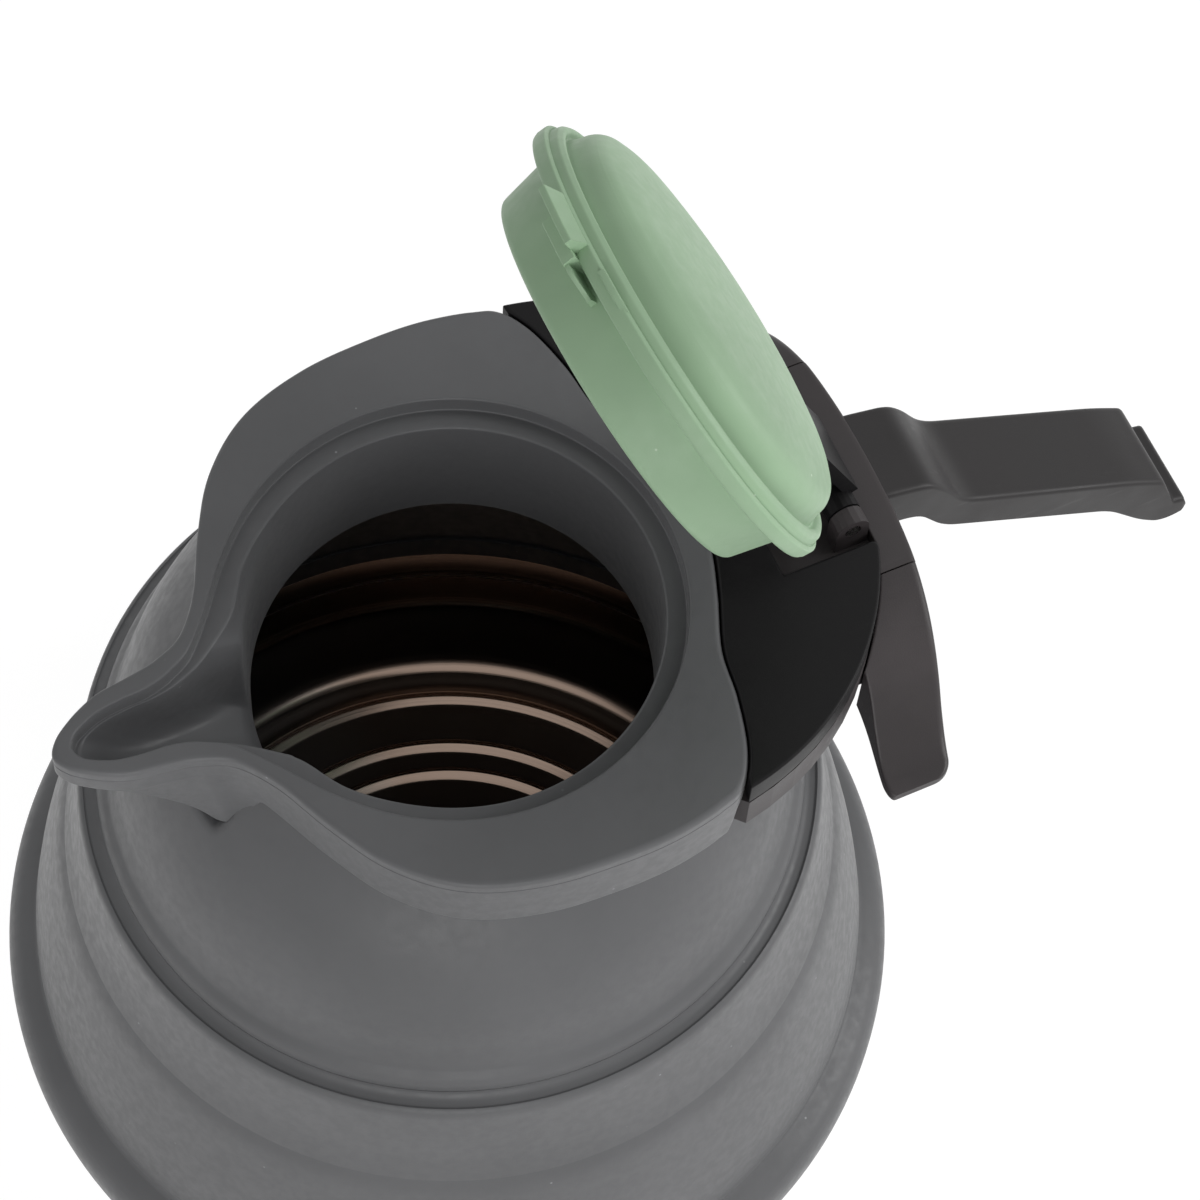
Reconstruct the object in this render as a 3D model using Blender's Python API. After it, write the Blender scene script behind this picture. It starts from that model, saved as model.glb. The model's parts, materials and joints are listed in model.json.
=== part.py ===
"""Collapsible stovetop kettle: silicone body with a pouring collar, steel pan, folding walls, hinged lid, side handle.

Metres, +Z up. The origin is the centre of the underside of the base. +X is the handle side, -X the spout.
The kettle stands opened out, with its lid swung up to the angle at which it was photographed.
"""

import math

import bmesh
import bpy
import numpy as np
from mathutils import Matrix, Vector

# Clearances and facets
SEAT_GAP = 0.0003
OVERRUN = 0.0040
ROUND_SEGMENTS = 40
FINE_SEGMENTS = 20

# Steel pan
PAN_RADIUS = 0.0970
PAN_TOP = 0.0480
PAN_WALL = 0.0012
PAN_CORNER = 0.0110
PAN_LIP_REACH = 0.0026
PAN_LIP_THICKNESS = 0.0014
PAN_STEP_INSET = 0.0430
PAN_STEP_RISE = 0.0008
PAN_STEP_RADIUS = PAN_RADIUS - PAN_STEP_INSET
PAN_CORNER_ANGLES = (0, 30, 60, 90)

# Heat spreader under the pan
DISC_INSET = 0.0170
DISC_THICKNESS = 0.0040
DISC_EDGE = 0.0010
DISC_RADIUS = PAN_RADIUS - DISC_INSET

# Silicone foot ring of the body, and the hoop that clamps it under the pan's lip
RING_DEPTH = 0.0130
HOOP_TOE_RISE = 0.0039
RING_TOE_REACH = 0.0020
RING_BULGE_REACH = 0.0034
RING_BULGE_LOW_RISE = 0.0030
RING_BULGE_HIGH_RISE = 0.0075
RING_LEDGE_REACH = 0.0010
RING_LEDGE_RISE = 0.0162
RING_TOP_INSET = 0.0003
RING_TOP_RISE = 0.0209
RING_BOTTOM = PAN_TOP - RING_DEPTH
HOOP_TOE_HEIGHT = RING_BOTTOM + HOOP_TOE_RISE
RING_TOE_RADIUS = PAN_RADIUS + PAN_LIP_REACH + RING_TOE_REACH
RING_BULGE_RADIUS = PAN_RADIUS + PAN_LIP_REACH + RING_BULGE_REACH
RING_BULGE_LOW = RING_BOTTOM + RING_BULGE_LOW_RISE
RING_BULGE_HIGH = RING_BOTTOM + RING_BULGE_HIGH_RISE
RING_LEDGE_RADIUS = PAN_RADIUS + RING_LEDGE_REACH
RING_LEDGE_HEIGHT = RING_BOTTOM + RING_LEDGE_RISE
RING_TOP_RADIUS = PAN_RADIUS - RING_TOP_INSET
RING_TOP_HEIGHT = RING_BOTTOM + RING_TOP_RISE
RING_SHOULDER_SHARES = ((0, 0), (0.45, 0.12), (0.78, 0.48), (1, 1))
FOLD_WALL = 0.0022
BAND_WALL = 0.0030

# Lower fold, between the foot ring and the middle band
LOWER_FOLD_RISE = 0.0448
LOWER_FOLD_INSET = 0.0114
LOWER_FOLD_TOP_HEIGHT = RING_TOP_HEIGHT + LOWER_FOLD_RISE
LOWER_FOLD_TOP_RADIUS = RING_TOP_RADIUS - LOWER_FOLD_INSET
LOWER_FOLD_SHARES = ((0, 0), (0.27, 0.17), (0.72, 0.58), (0.93, 0.84), (1, 1))

# Middle band
MIDDLE_RISE = 0.0283
MIDDLE_INSET = 0.0050
MIDDLE_EDGE = 0.0009
MIDDLE_TOP_HEIGHT = LOWER_FOLD_TOP_HEIGHT + MIDDLE_RISE
MIDDLE_TOP_RADIUS = LOWER_FOLD_TOP_RADIUS - MIDDLE_INSET
MIDDLE_SHARES = ((0, 0), (0.32, 0.42), (0.85, 0.88), (0.965, 1))

# Upper fold, the narrow shelf under the shoulder
UPPER_FOLD_RISE = 0.0087
UPPER_FOLD_INSET = 0.0061
UPPER_FOLD_SPAN = 0.0051
UPPER_FOLD_TOP_HEIGHT = MIDDLE_TOP_HEIGHT + UPPER_FOLD_RISE
UPPER_FOLD_TOP_RADIUS = MIDDLE_TOP_RADIUS - UPPER_FOLD_INSET
UPPER_FOLD_SHARES = ((0, 0), (0.35, 0.56), (1, 1))

# Mouth, and the shoulder that rises to it
MOUTH_RADIUS = 0.0420
SHOULDER_RISE = 0.0470
SHOULDER_TOP_REACH = 0.0078
SHOULDER_FLANGE_REACH = 0.0034
SHOULDER_FLANGE_DEPTH = 0.0030
SHOULDER_TOP_HEIGHT = UPPER_FOLD_TOP_HEIGHT + SHOULDER_RISE
SHOULDER_TOP_RADIUS = MOUTH_RADIUS + SHOULDER_TOP_REACH
SHOULDER_FLANGE_RADIUS = MOUTH_RADIUS + SHOULDER_FLANGE_REACH
SHOULDER_SHARES = ((0, 0), (0.19, 0.058), (0.40, 0.20), (0.60, 0.42), (0.80, 0.70), (1, 1))

# Spout and collar, as seen from above: angle from the spout and radius as a share of the mouth
RECESS_REACH = 0.0045
LIP_STEP = 0.0042
NECK_DEPTH = 0.0310
NECK_TAPER = 0.0007
COLLAR_WALL = 0.0030
COLLAR_EDGE = 0.0014
LIP_EDGE = 0.0006
PLATE_STUB = 0.0004
FRAME_THICKNESS = 0.0097
RECESS_RADIUS = MOUTH_RADIUS + RECESS_REACH
FRAME_BOTTOM = SHOULDER_TOP_HEIGHT + SEAT_GAP
LEDGE_HEIGHT = FRAME_BOTTOM + FRAME_THICKNESS + SEAT_GAP + COLLAR_WALL
TOP_HEIGHT = LEDGE_HEIGHT + LIP_STEP
STEPS_PER_SHARE = 2
COLLAR_OUTLINE_SHARES = (
    (0, 1.995), (2.3, 1.955), (4.4, 1.875), (6.3, 1.785), (7.7, 1.700), (9.2, 1.560), (11.5, 1.415), (16.5, 1.280),
    (27, 1.222), (41, 1.268), (54, 1.355), (68, 1.432), (83, 1.467), (96, 1.500), (109, 1.568), (116.5, 1.610),
    (121, 1.625), (126.5, 1.565), (136, 1.410), (146, 1.275), (160, 1.245), (180, 1.270),
)
LIP_OUTLINE_SHARES = (
    (0, 1.896), (1.9, 1.865), (3.4, 1.790), (4.4, 1.715), (5.2, 1.610), (6.0, 1.480), (8.2, 1.360), (13, 1.240),
    (24, 1.150), (39, 1.115), (53, 1.108), (68, 1.105), (83, 1.105), (96, 1.105), (109, 1.105), (116.5, 1.105),
    (121, 1.105), (126.5, 1.105), (136, 1.105), (146, 1.105), (160, 1.105), (180, 1.105),
)
THROAT_OUTLINE_SHARES = (
    (0, 1.865), (1.8, 1.835), (3.2, 1.765), (4.1, 1.690), (4.8, 1.585), (5.5, 1.450), (7.4, 1.320), (12, 1.185),
    (23, 1.040), (38, 1.025), (53, 1.005), (68, 1), (83, 1), (96, 1), (109, 1), (116.5, 1), (121, 1), (126.5, 1),
    (136, 1), (146, 1), (160, 1), (180, 1),
)
CHANNEL_OUTLINE_SHARES = (
    (0, 1.590), (2.6, 1.560), (3.9, 1.500), (4.8, 1.430), (5.8, 1.350), (7.6, 1.250), (11, 1.140), (17, 1.050),
    (28, 1.000), (41, 0.995), (54, 0.995), (68, 0.995), (83, 0.995), (96, 0.995), (109, 0.995), (116.5, 0.995),
    (121, 0.995), (126.5, 0.995), (136, 0.995), (146, 0.995), (160, 0.995), (180, 0.995),
)
SKIRT_NOSE_SHARES = ((0, 1.225), (3.5, 1.225), (7, 1.225), (10, 1.225), (13, 1.225), (16, 1.225), (19, 1.225),
                     (22, 1.223))
CHANNEL_DEPTH = 0.0065
CHANNEL_MOUTH_DEPTH = 0.0105
CHANNEL_MOUTH_SHARES = ((0, 1.030), (20, 1.005), (60, 0.992), (180, 0.992))
NOSE_ANGLES = (12.0, 36.0)
SKIRT_END_ANGLES = (118.5, 121.0)

# Bracket under and behind the collar
BRACKET_CENTRE_SHARE = 0.643
BRACKET_RADIUS_SHARE = 1.431
BRACKET_HORN_ANGLE = 80.5
BRACKET_EDGE = 0.0008
COVER_THICKNESS = 0.0072
FRAME_START_ANGLE = 50.0
COVER_START_ANGLE = 122.5
FRAME_NECK_GAP = 0.0007
SLOT_HALF_WIDTH = 0.0200
SLOT_DEPTH = 0.0245
SIDE_SCREW_INSET = 0.0084
SIDE_SCREW_ANGLE = 67.0
TONGUE_SCREW_INSET = 0.0100
TONGUE_SCREW_ANGLE = 45.0
BRACKET_CENTRE_X = MOUTH_RADIUS * BRACKET_CENTRE_SHARE
BRACKET_RADIUS = MOUTH_RADIUS * BRACKET_RADIUS_SHARE
BRACKET_BACK_X = BRACKET_CENTRE_X + BRACKET_RADIUS
SLOT_FRONT_X = BRACKET_BACK_X - SLOT_DEPTH

# Screws
SCREW_RADIUS = 0.0014
SCREW_HEAD_RADIUS = 0.0028
SCREW_HEAD_HEIGHT = 0.0020
SCREW_HEAD_EDGE = 0.0006
SCREW_BITE = 0.0045
SCREW_GAP = 0.0003

# Lid hinge
HINGE_INSET = 0.0072
HINGE_RISE = 0.0033
LID_OPEN_ANGLE = 64.0
HINGE_PIN_RADIUS = 0.0015
HINGE_PIN_GAP = 0.0003
KNUCKLE_RADIUS = 0.0036
KNUCKLE_HALF_WIDTH = 0.0122
LUG_SIDE_GAP = 0.0004
LUG_THICKNESS = 0.0038
HINGE_X = BRACKET_BACK_X - HINGE_INSET
HINGE_HEIGHT = LEDGE_HEIGHT + HINGE_RISE
LUG_INNER_Y = KNUCKLE_HALF_WIDTH + LUG_SIDE_GAP

# Lid
LID_FLANGE_REACH = 0.0032
LID_FLANGE_HEIGHT = 0.0053
LID_BEAD_SHARES = ((0, 1), (0.43, 1), (0.55, 0.81), (0.81, 0.94), (1, 0.70), (0.89, 0.17))
LID_PLUG_INSET = 0.0012
LID_PLUG_DEPTH = 0.0113
LID_PLUG_TAPER = 0.0025
LID_DOME_INSET = 0.0015
LID_DOME_RISE = 0.0100
LID_WALL = 0.0026
LID_FLANGE_RADIUS = MOUTH_RADIUS + LID_FLANGE_REACH
LID_PLUG_RADIUS = MOUTH_RADIUS - LID_PLUG_INSET
LID_DOME_RADIUS = MOUTH_RADIUS - LID_DOME_INSET
DOME_SHARES = ((1, 0.10), (0.985, 0.36), (0.945, 0.56), (0.84, 0.74), (0.62, 0.88), (0.36, 0.97), (0, 1))
TAB_WIDTH = 0.0170
TAB_REACH = 0.0040
TAB_THICKNESS = 0.0042
TAB_RISE = 0.0006
TAB_CORNER = 0.0022
TAB_EDGE = 0.0008

# Stiffener cup inside the lid and the hinge arm
CORE_INSET = 0.0075
CORE_WALL = 0.0016
ARM_HALF_WIDTH = 0.0090
ARM_BOTTOM = 0.0055
ARM_THICKNESS = 0.0028
ARM_FRONT_INSET = 0.0095
ARM_RIB_WIDTH = 0.0030
ARM_RIB_Y = 0.0055
ARM_RIB_LENGTH = 0.0155
ARM_RIB_DEPTH = 0.0050
ARM_SLOT_GAP = 0.0003
ARM_SCREW_REACH = 0.0040
ARM_SCREW_Y = 0.0050
CORE_RADIUS = MOUTH_RADIUS - CORE_INSET
ARM_FRONT_X = CORE_RADIUS - ARM_FRONT_INSET
ARM_SCREW_X = ARM_FRONT_X + ARM_SCREW_REACH
ARM_RIB_FRONT_X = HINGE_X - ARM_RIB_LENGTH

# Handle: side profile of the bar, from its root at the yoke's back to its hooked tip
BAR_HALF_WIDTH = 0.0105
BAR_LENGTH = 0.0864
BAR_DROP = 0.0617
BAR_TOP_RISE = 0.0003
BAR_ROUNDING = 0.0022
BAR_TOP_SHARES = ((0, 0), (0.047, 0.006), (0.163, 0.050), (0.207, 0.118), (0.272, 0.262), (0.801, 0.664),
                  (0.903, 0.772), (0.959, 0.940), (1, 1))
BAR_BOTTOM_SHARES = ((1, 1.040), (0.920, 1.060), (0.752, 0.822), (0.229, 0.400), (0.154, 0.254), (0.092, 0.224))
BAR_WALL = 0.0026
BAR_POCKETS = 4
BAR_POCKET_RIB = 0.0016
BAR_POCKET_START_SHARE = 0.26
BAR_POCKET_END_SHARE = 0.74
POCKET_DEPTH = 0.0066

# Yoke behind the bracket and its two wings
YOKE_HALF_WIDTH = 0.0228
YOKE_BACK_REACH = 0.0044
YOKE_BACK_SWEEP = 0.0070
YOKE_FLANGE_REACH = 0.0255
YOKE_FLANGE_HALF_WIDTH = 0.0140
YOKE_FLANGE_THICKNESS = 0.0030
YOKE_SCREW_REACH = 0.0175
YOKE_SCREW_Y = 0.0085
SILL_GAP = 0.0005
WING_TIP_INSET = 0.0016
WING_FRONT_REACH = 0.0150
WING_WALL = 0.0025
WING_EDGE = 0.0008
WING_DEPTH = 0.0280
WING_CORNER = 0.0050
WING_CORNER_ANGLES = (35, 65, 90)
WING_STATIONS = 10
WING_POCKET_ROUND = 0.0006
TONGUE_WIDTH = 0.0090
YOKE_BACK_X = BRACKET_BACK_X + YOKE_BACK_REACH
YOKE_FLANGE_FRONT_X = BRACKET_BACK_X - YOKE_FLANGE_REACH
YOKE_SCREW_X = BRACKET_BACK_X - YOKE_SCREW_REACH
WING_TIP_Y = BRACKET_RADIUS - WING_TIP_INSET
WING_FRONT_X = BRACKET_BACK_X - WING_FRONT_REACH
YOKE_TOP_SHARES = ((0, 0.014), (0.17, 0.012), (0.29, 0), (0.40, -0.022), (0.51, -0.093), (0.60, -0.19),
                   (0.684, -0.325), (0.77, -0.51), (0.855, -0.73), (0.94, -0.93), (1, -1.0))
YOKE_BOTTOM_SHARES = ((0, -0.62), (0.40, -0.64), (0.55, -0.80), (0.70, -0.91), (0.85, -0.97), (1, -1.08))

# Materials: colour, roughness, metallic
SILICONE_GREY = ((0.085, 0.088, 0.092), 0.55, 0.0)
LID_GREEN = ((0.300, 0.430, 0.290), 0.50, 0.0)
BLACK_PLASTIC = ((0.018, 0.016, 0.018), 0.42, 0.0)
STEEL = ((0.620, 0.610, 0.600), 0.18, 1.0)
MATERIALS = {}


def material(name, finish):
    """A Principled material with one colour, roughness and metallic value."""
    if name not in MATERIALS:
        made = bpy.data.materials.new(name)
        made.use_nodes = True
        shader = made.node_tree.nodes["Principled BSDF"]
        colour, roughness, metallic = finish
        shader.inputs["Base Color"].default_value = (*colour, 1.0)
        shader.inputs["Roughness"].default_value = roughness
        shader.inputs["Metallic"].default_value = metallic
        MATERIALS[name] = made
    return MATERIALS[name]


def add_mesh(name, verts, faces, finish, smooth_angle=35.0):
    """A closed mesh object with its faces turned outwards."""
    mesh = bpy.data.meshes.new(name)
    mesh.from_pydata([tuple(map(float, v)) for v in verts], [], faces)
    builder = bmesh.new()
    builder.from_mesh(mesh)
    bmesh.ops.recalc_face_normals(builder, faces=builder.faces)
    builder.to_mesh(mesh)
    builder.free()
    mesh.shade_smooth()
    mesh.set_sharp_from_angle(angle=math.radians(smooth_angle))
    obj = bpy.data.objects.new(name, mesh)
    bpy.context.scene.collection.objects.link(obj)
    if finish is not None:
        mesh.materials.append(material(*finish))
    return obj


def cutter(name, verts, faces):
    """A helper solid for a Boolean, never rendered and never a part."""
    obj = add_mesh(name, verts, faces, None)
    obj.hide_render = True
    obj.display_type = "WIRE"
    return obj


def combine(obj, other, operation):
    """Cuts or joins one solid with another; the change stays on the object as a modifier."""
    change = obj.modifiers.new(f"{operation.lower()}_{other.name}", "BOOLEAN")
    change.operation = operation
    change.solver = "EXACT"
    change.object = other
    return obj


def loft(rings, wrap):
    """Verts and quads between equal rings of points. The rings join end to end when wrap is true, or get end caps."""
    count = len(rings[0])
    verts = np.concatenate([np.asarray(ring, float) for ring in rings])
    faces = []
    last = len(rings) if wrap else len(rings) - 1
    for i in range(last):
        j = (i + 1) % len(rings)
        for k in range(count):
            n = (k + 1) % count
            faces.append((i * count + k, i * count + n, j * count + n, j * count + k))
    if not wrap:
        faces.append(tuple(range(count)))
        faces.append(tuple((len(rings) - 1) * count + k for k in reversed(range(count))))
    return verts, faces


def turned(outline, segments=ROUND_SEGMENTS, centre=(0, 0)):
    """Verts and faces of a solid of revolution about a vertical axis, from an outline of (radius, height).

    The outline closes on itself, or starts and ends on the axis.
    """
    angles = np.arange(segments) * (2 * math.pi / segments)
    rings = [
        np.column_stack([centre[0] + r * np.cos(angles), centre[1] + r * np.sin(angles), np.full(segments, z)])
        for r, z in outline if r > 0
    ]
    from_axis = outline[0][0] == 0
    verts, faces = loft(rings, not from_axis)
    if from_axis:
        last = (len(rings) - 1) * segments
        tips = [(centre[0], centre[1], outline[0][1]), (centre[0], centre[1], outline[-1][1])]
        start, end = len(verts), len(verts) + 1
        verts = np.concatenate([verts, tips])
        faces = faces[:-2]
        for k in range(segments):
            n = (k + 1) % segments
            faces.append((start, n, k))
            faces.append((end, last + k, last + n))
    return verts, faces


def prism(outline, low, high, edge=0.0):
    """Verts and faces of an upright plate from an outline of (x, y), with its upper edge rounded off by edge."""
    outline = np.asarray(outline, float)
    steps = ((edge, 0), (edge * 0.3, edge * 0.3), (0, edge)) if edge else ((0, 0),)
    rings = [np.column_stack([outline, np.full(len(outline), low)])]
    for down, inward in steps:
        rings.append(np.column_stack([inset(outline, inward), np.full(len(outline), high - down)]))
    return loft(rings, False)


def across(outline, half_width, middle=0.0):
    """Verts and faces of a block with an outline of (x, z), as wide as twice half_width along Y."""
    outline = np.asarray(outline, float)
    rings = []
    for y in (middle - half_width, middle + half_width):
        rings.append(np.column_stack([outline[:, 0], np.full(len(outline), y), outline[:, 1]]))
    return loft(rings, False)


def box(low, high):
    """Verts and faces of a box between two corners."""
    outline = [(low[0], low[1]), (high[0], low[1]), (high[0], high[1]), (low[0], high[1])]
    return prism(outline, low[2], high[2])


def inset(outline, distance):
    """The closed outline moved inwards by distance, at right angles to it; the outline runs either way round."""
    outline = np.asarray(outline, float)
    before = np.roll(outline, 1, axis=0)
    after = np.roll(outline, -1, axis=0)
    one = outline - before
    two = after - outline
    one /= np.maximum(np.linalg.norm(one, axis=1, keepdims=True), 1e-12)
    two /= np.maximum(np.linalg.norm(two, axis=1, keepdims=True), 1e-12)
    normal = np.column_stack([-(one + two)[:, 1], (one + two)[:, 0]])
    normal /= np.maximum(np.linalg.norm(normal, axis=1, keepdims=True), 1e-12)
    lean = np.maximum(np.abs(np.sum(normal * np.column_stack([-one[:, 1], one[:, 0]]), axis=1)), 0.5)
    area = np.sum(outline[:, 0] * after[:, 1] - after[:, 0] * outline[:, 1])
    return outline + normal * (distance * np.sign(area) / lean)[:, None]


def rounded(points, radius, steps=3):
    """The closed outline with each corner replaced by a short curve that starts radius away, or less on short sides."""
    points = [np.asarray(p, float) for p in points]
    result = []
    for i, corner in enumerate(points):
        before = points[i - 1] - corner
        after = points[(i + 1) % len(points)] - corner
        reach = min(radius, np.linalg.norm(before) * 0.45, np.linalg.norm(after) * 0.45)
        start = corner + before / np.linalg.norm(before) * reach
        end = corner + after / np.linalg.norm(after) * reach
        for t in np.linspace(0, 1, steps + 1):
            result.append((1 - t) ** 2 * start + 2 * t * (1 - t) * corner + t ** 2 * end)
    return np.array(result)


def along(low, high, shares):
    """Points between two (radius, height) ends: each share pair gives the rise and the way across."""
    return [(low[0] + (high[0] - low[0]) * across_share, low[1] + (high[1] - low[1]) * rise_share)
            for rise_share, across_share in shares]


def smooth_step(value, start, end):
    """0 before start, 1 after end, and a smooth climb between them."""
    t = np.clip((value - start) / (end - start), 0, 1)
    return t * t * (3 - 2 * t)


def round_outline(shares):
    """Angles and radii all round, from half an outline of (angle, share of the mouth radius), on a smooth curve."""
    half = np.array(shares, float)
    mirrored = np.column_stack([360 - half[-2:0:-1, 0], half[-2:0:-1, 1]])
    keys = np.concatenate([half, mirrored])
    count = len(keys)
    spans = []
    for i in range(count):
        p = [keys[(i + k - 1) % count].copy() for k in range(4)]
        if i == 0:
            p[0][0] -= 360
        if i + 1 >= count:
            p[2][0] += 360
        if i + 2 >= count:
            p[3][0] += 360
        for t in np.arange(STEPS_PER_SHARE) / STEPS_PER_SHARE:
            spans.append(0.5 * (2 * p[1] + (p[2] - p[0]) * t + (2 * p[0] - 5 * p[1] + 4 * p[2] - p[3]) * t ** 2
                                + (3 * p[1] - p[0] - 3 * p[2] + p[3]) * t ** 3))
    spans = np.array(spans)
    return spans[:, 0], spans[:, 1] * MOUTH_RADIUS


def ring_at(angles, radii, heights):
    """Points at these angles from the spout direction, radii and heights."""
    turn = np.radians(180 + np.asarray(angles))
    heights = np.broadcast_to(heights, turn.shape)
    return np.column_stack([radii * np.cos(turn), radii * np.sin(turn), heights])


# Finishes
GREY = ("silicone_grey", SILICONE_GREY)
GREEN = ("lid_green", LID_GREEN)
BLACK = ("black_plastic", BLACK_PLASTIC)
METAL = ("steel", STEEL)


def wall_section(outer, thickness):
    """A closed outline from an outer line of (radius, height), and the same line moved inwards by the wall."""
    return list(outer) + [(r - thickness, z) for r, z in reversed(outer)]


def make_base():
    """The heat spreader, the steel pan with its rolled lip, the hoop and the silicone foot ring."""
    disc = [(0, 0), (DISC_RADIUS - DISC_EDGE, 0), (DISC_RADIUS, DISC_EDGE), (DISC_RADIUS, DISC_THICKNESS),
            (0, DISC_THICKNESS)]
    add_mesh("base_disc", *turned(disc), METAL)

    floor = DISC_THICKNESS + SEAT_GAP
    lip_low = PAN_TOP - PAN_LIP_THICKNESS
    turns = np.radians(PAN_CORNER_ANGLES)
    centre_r, centre_z = PAN_RADIUS - PAN_CORNER, floor + PAN_CORNER
    outer_bend = [(centre_r + PAN_CORNER * math.sin(a), centre_z - PAN_CORNER * math.cos(a)) for a in turns]
    inner_round = PAN_CORNER - PAN_WALL
    inner_bend = [(centre_r + inner_round * math.sin(a), centre_z - inner_round * math.cos(a)) for a in turns[::-1]]
    dish_z = floor + PAN_WALL + PAN_STEP_RISE
    pan = [(0, floor)] + outer_bend
    pan += [(PAN_RADIUS, lip_low), (PAN_RADIUS + PAN_LIP_REACH, lip_low), (PAN_RADIUS + PAN_LIP_REACH, PAN_TOP),
            (PAN_RADIUS - PAN_WALL, PAN_TOP)]
    pan += inner_bend
    pan += [(PAN_STEP_RADIUS, floor + PAN_WALL), (PAN_STEP_RADIUS - PAN_STEP_RISE, dish_z), (0, dish_z)]
    add_mesh("base_pan", *turned(pan), METAL)

    hoop_in = PAN_RADIUS + SEAT_GAP
    hoop_out = PAN_RADIUS + PAN_LIP_REACH
    hoop = [(hoop_in, HOOP_TOE_HEIGHT), (hoop_out, HOOP_TOE_HEIGHT), (hoop_out, lip_low - SEAT_GAP),
            (hoop_in, lip_low - SEAT_GAP)]
    add_mesh("base_hoop", *turned(hoop), METAL)

    groove = hoop_out + SEAT_GAP
    inner_top = RING_TOP_RADIUS - BAND_WALL
    ring = [(RING_TOE_RADIUS, RING_BOTTOM), (RING_BULGE_RADIUS, RING_BULGE_LOW)]
    ring += along((RING_BULGE_RADIUS, RING_BULGE_HIGH), (RING_LEDGE_RADIUS, RING_LEDGE_HEIGHT), RING_SHOULDER_SHARES)
    ring += [
        (RING_TOP_RADIUS, RING_TOP_HEIGHT),
        (inner_top, RING_TOP_HEIGHT),
        (inner_top, PAN_TOP + SEAT_GAP),
        (groove, PAN_TOP + SEAT_GAP),
        (groove, HOOP_TOE_HEIGHT - SEAT_GAP),
        (hoop_in, HOOP_TOE_HEIGHT - SEAT_GAP),
        (hoop_in, RING_BOTTOM),
    ]
    add_mesh("body_foot_ring", *turned(ring), GREY)


def make_body():
    """The silicone walls above the foot ring: lower fold, middle band, upper fold and shoulder."""
    low = (RING_TOP_RADIUS, RING_TOP_HEIGHT + SEAT_GAP)
    high = (LOWER_FOLD_TOP_RADIUS, LOWER_FOLD_TOP_HEIGHT)
    add_mesh("body_lower_fold", *turned(wall_section(along(low, high, LOWER_FOLD_SHARES), FOLD_WALL)), GREY)

    low = (LOWER_FOLD_TOP_RADIUS, LOWER_FOLD_TOP_HEIGHT + SEAT_GAP)
    high = (MIDDLE_TOP_RADIUS, MIDDLE_TOP_HEIGHT)
    outer = along(low, high, MIDDLE_SHARES) + [(MIDDLE_TOP_RADIUS - MIDDLE_EDGE, MIDDLE_TOP_HEIGHT)]
    add_mesh("body_middle_band", *turned(band_section(outer, BAND_WALL)), GREY)

    low = (UPPER_FOLD_TOP_RADIUS + UPPER_FOLD_SPAN, MIDDLE_TOP_HEIGHT + SEAT_GAP)
    high = (UPPER_FOLD_TOP_RADIUS, UPPER_FOLD_TOP_HEIGHT)
    add_mesh("body_upper_fold", *turned(wall_section(along(low, high, UPPER_FOLD_SHARES), FOLD_WALL)), GREY)

    low = (UPPER_FOLD_TOP_RADIUS, UPPER_FOLD_TOP_HEIGHT + SEAT_GAP)
    high = (SHOULDER_TOP_RADIUS, SHOULDER_TOP_HEIGHT)
    outer = along(low, high, SHOULDER_SHARES)
    inner = [(r - BAND_WALL, z) for r, z in outer if z < SHOULDER_TOP_HEIGHT - SHOULDER_FLANGE_DEPTH * 2.5]
    flange = [(SHOULDER_FLANGE_RADIUS, SHOULDER_TOP_HEIGHT),
              (SHOULDER_FLANGE_RADIUS, SHOULDER_TOP_HEIGHT - SHOULDER_FLANGE_DEPTH)]
    add_mesh("body_shoulder", *turned(outer + flange + inner[::-1]), GREY)


def band_section(outer, wall):
    """A wall outline like wall_section, whose inner line ends level with the outer one's rounded edge."""
    inner = [(r - wall, z) for r, z in outer[:-1]]
    inner[-1] = (inner[-1][0], outer[-1][1])
    return list(outer) + inner[::-1]


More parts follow.
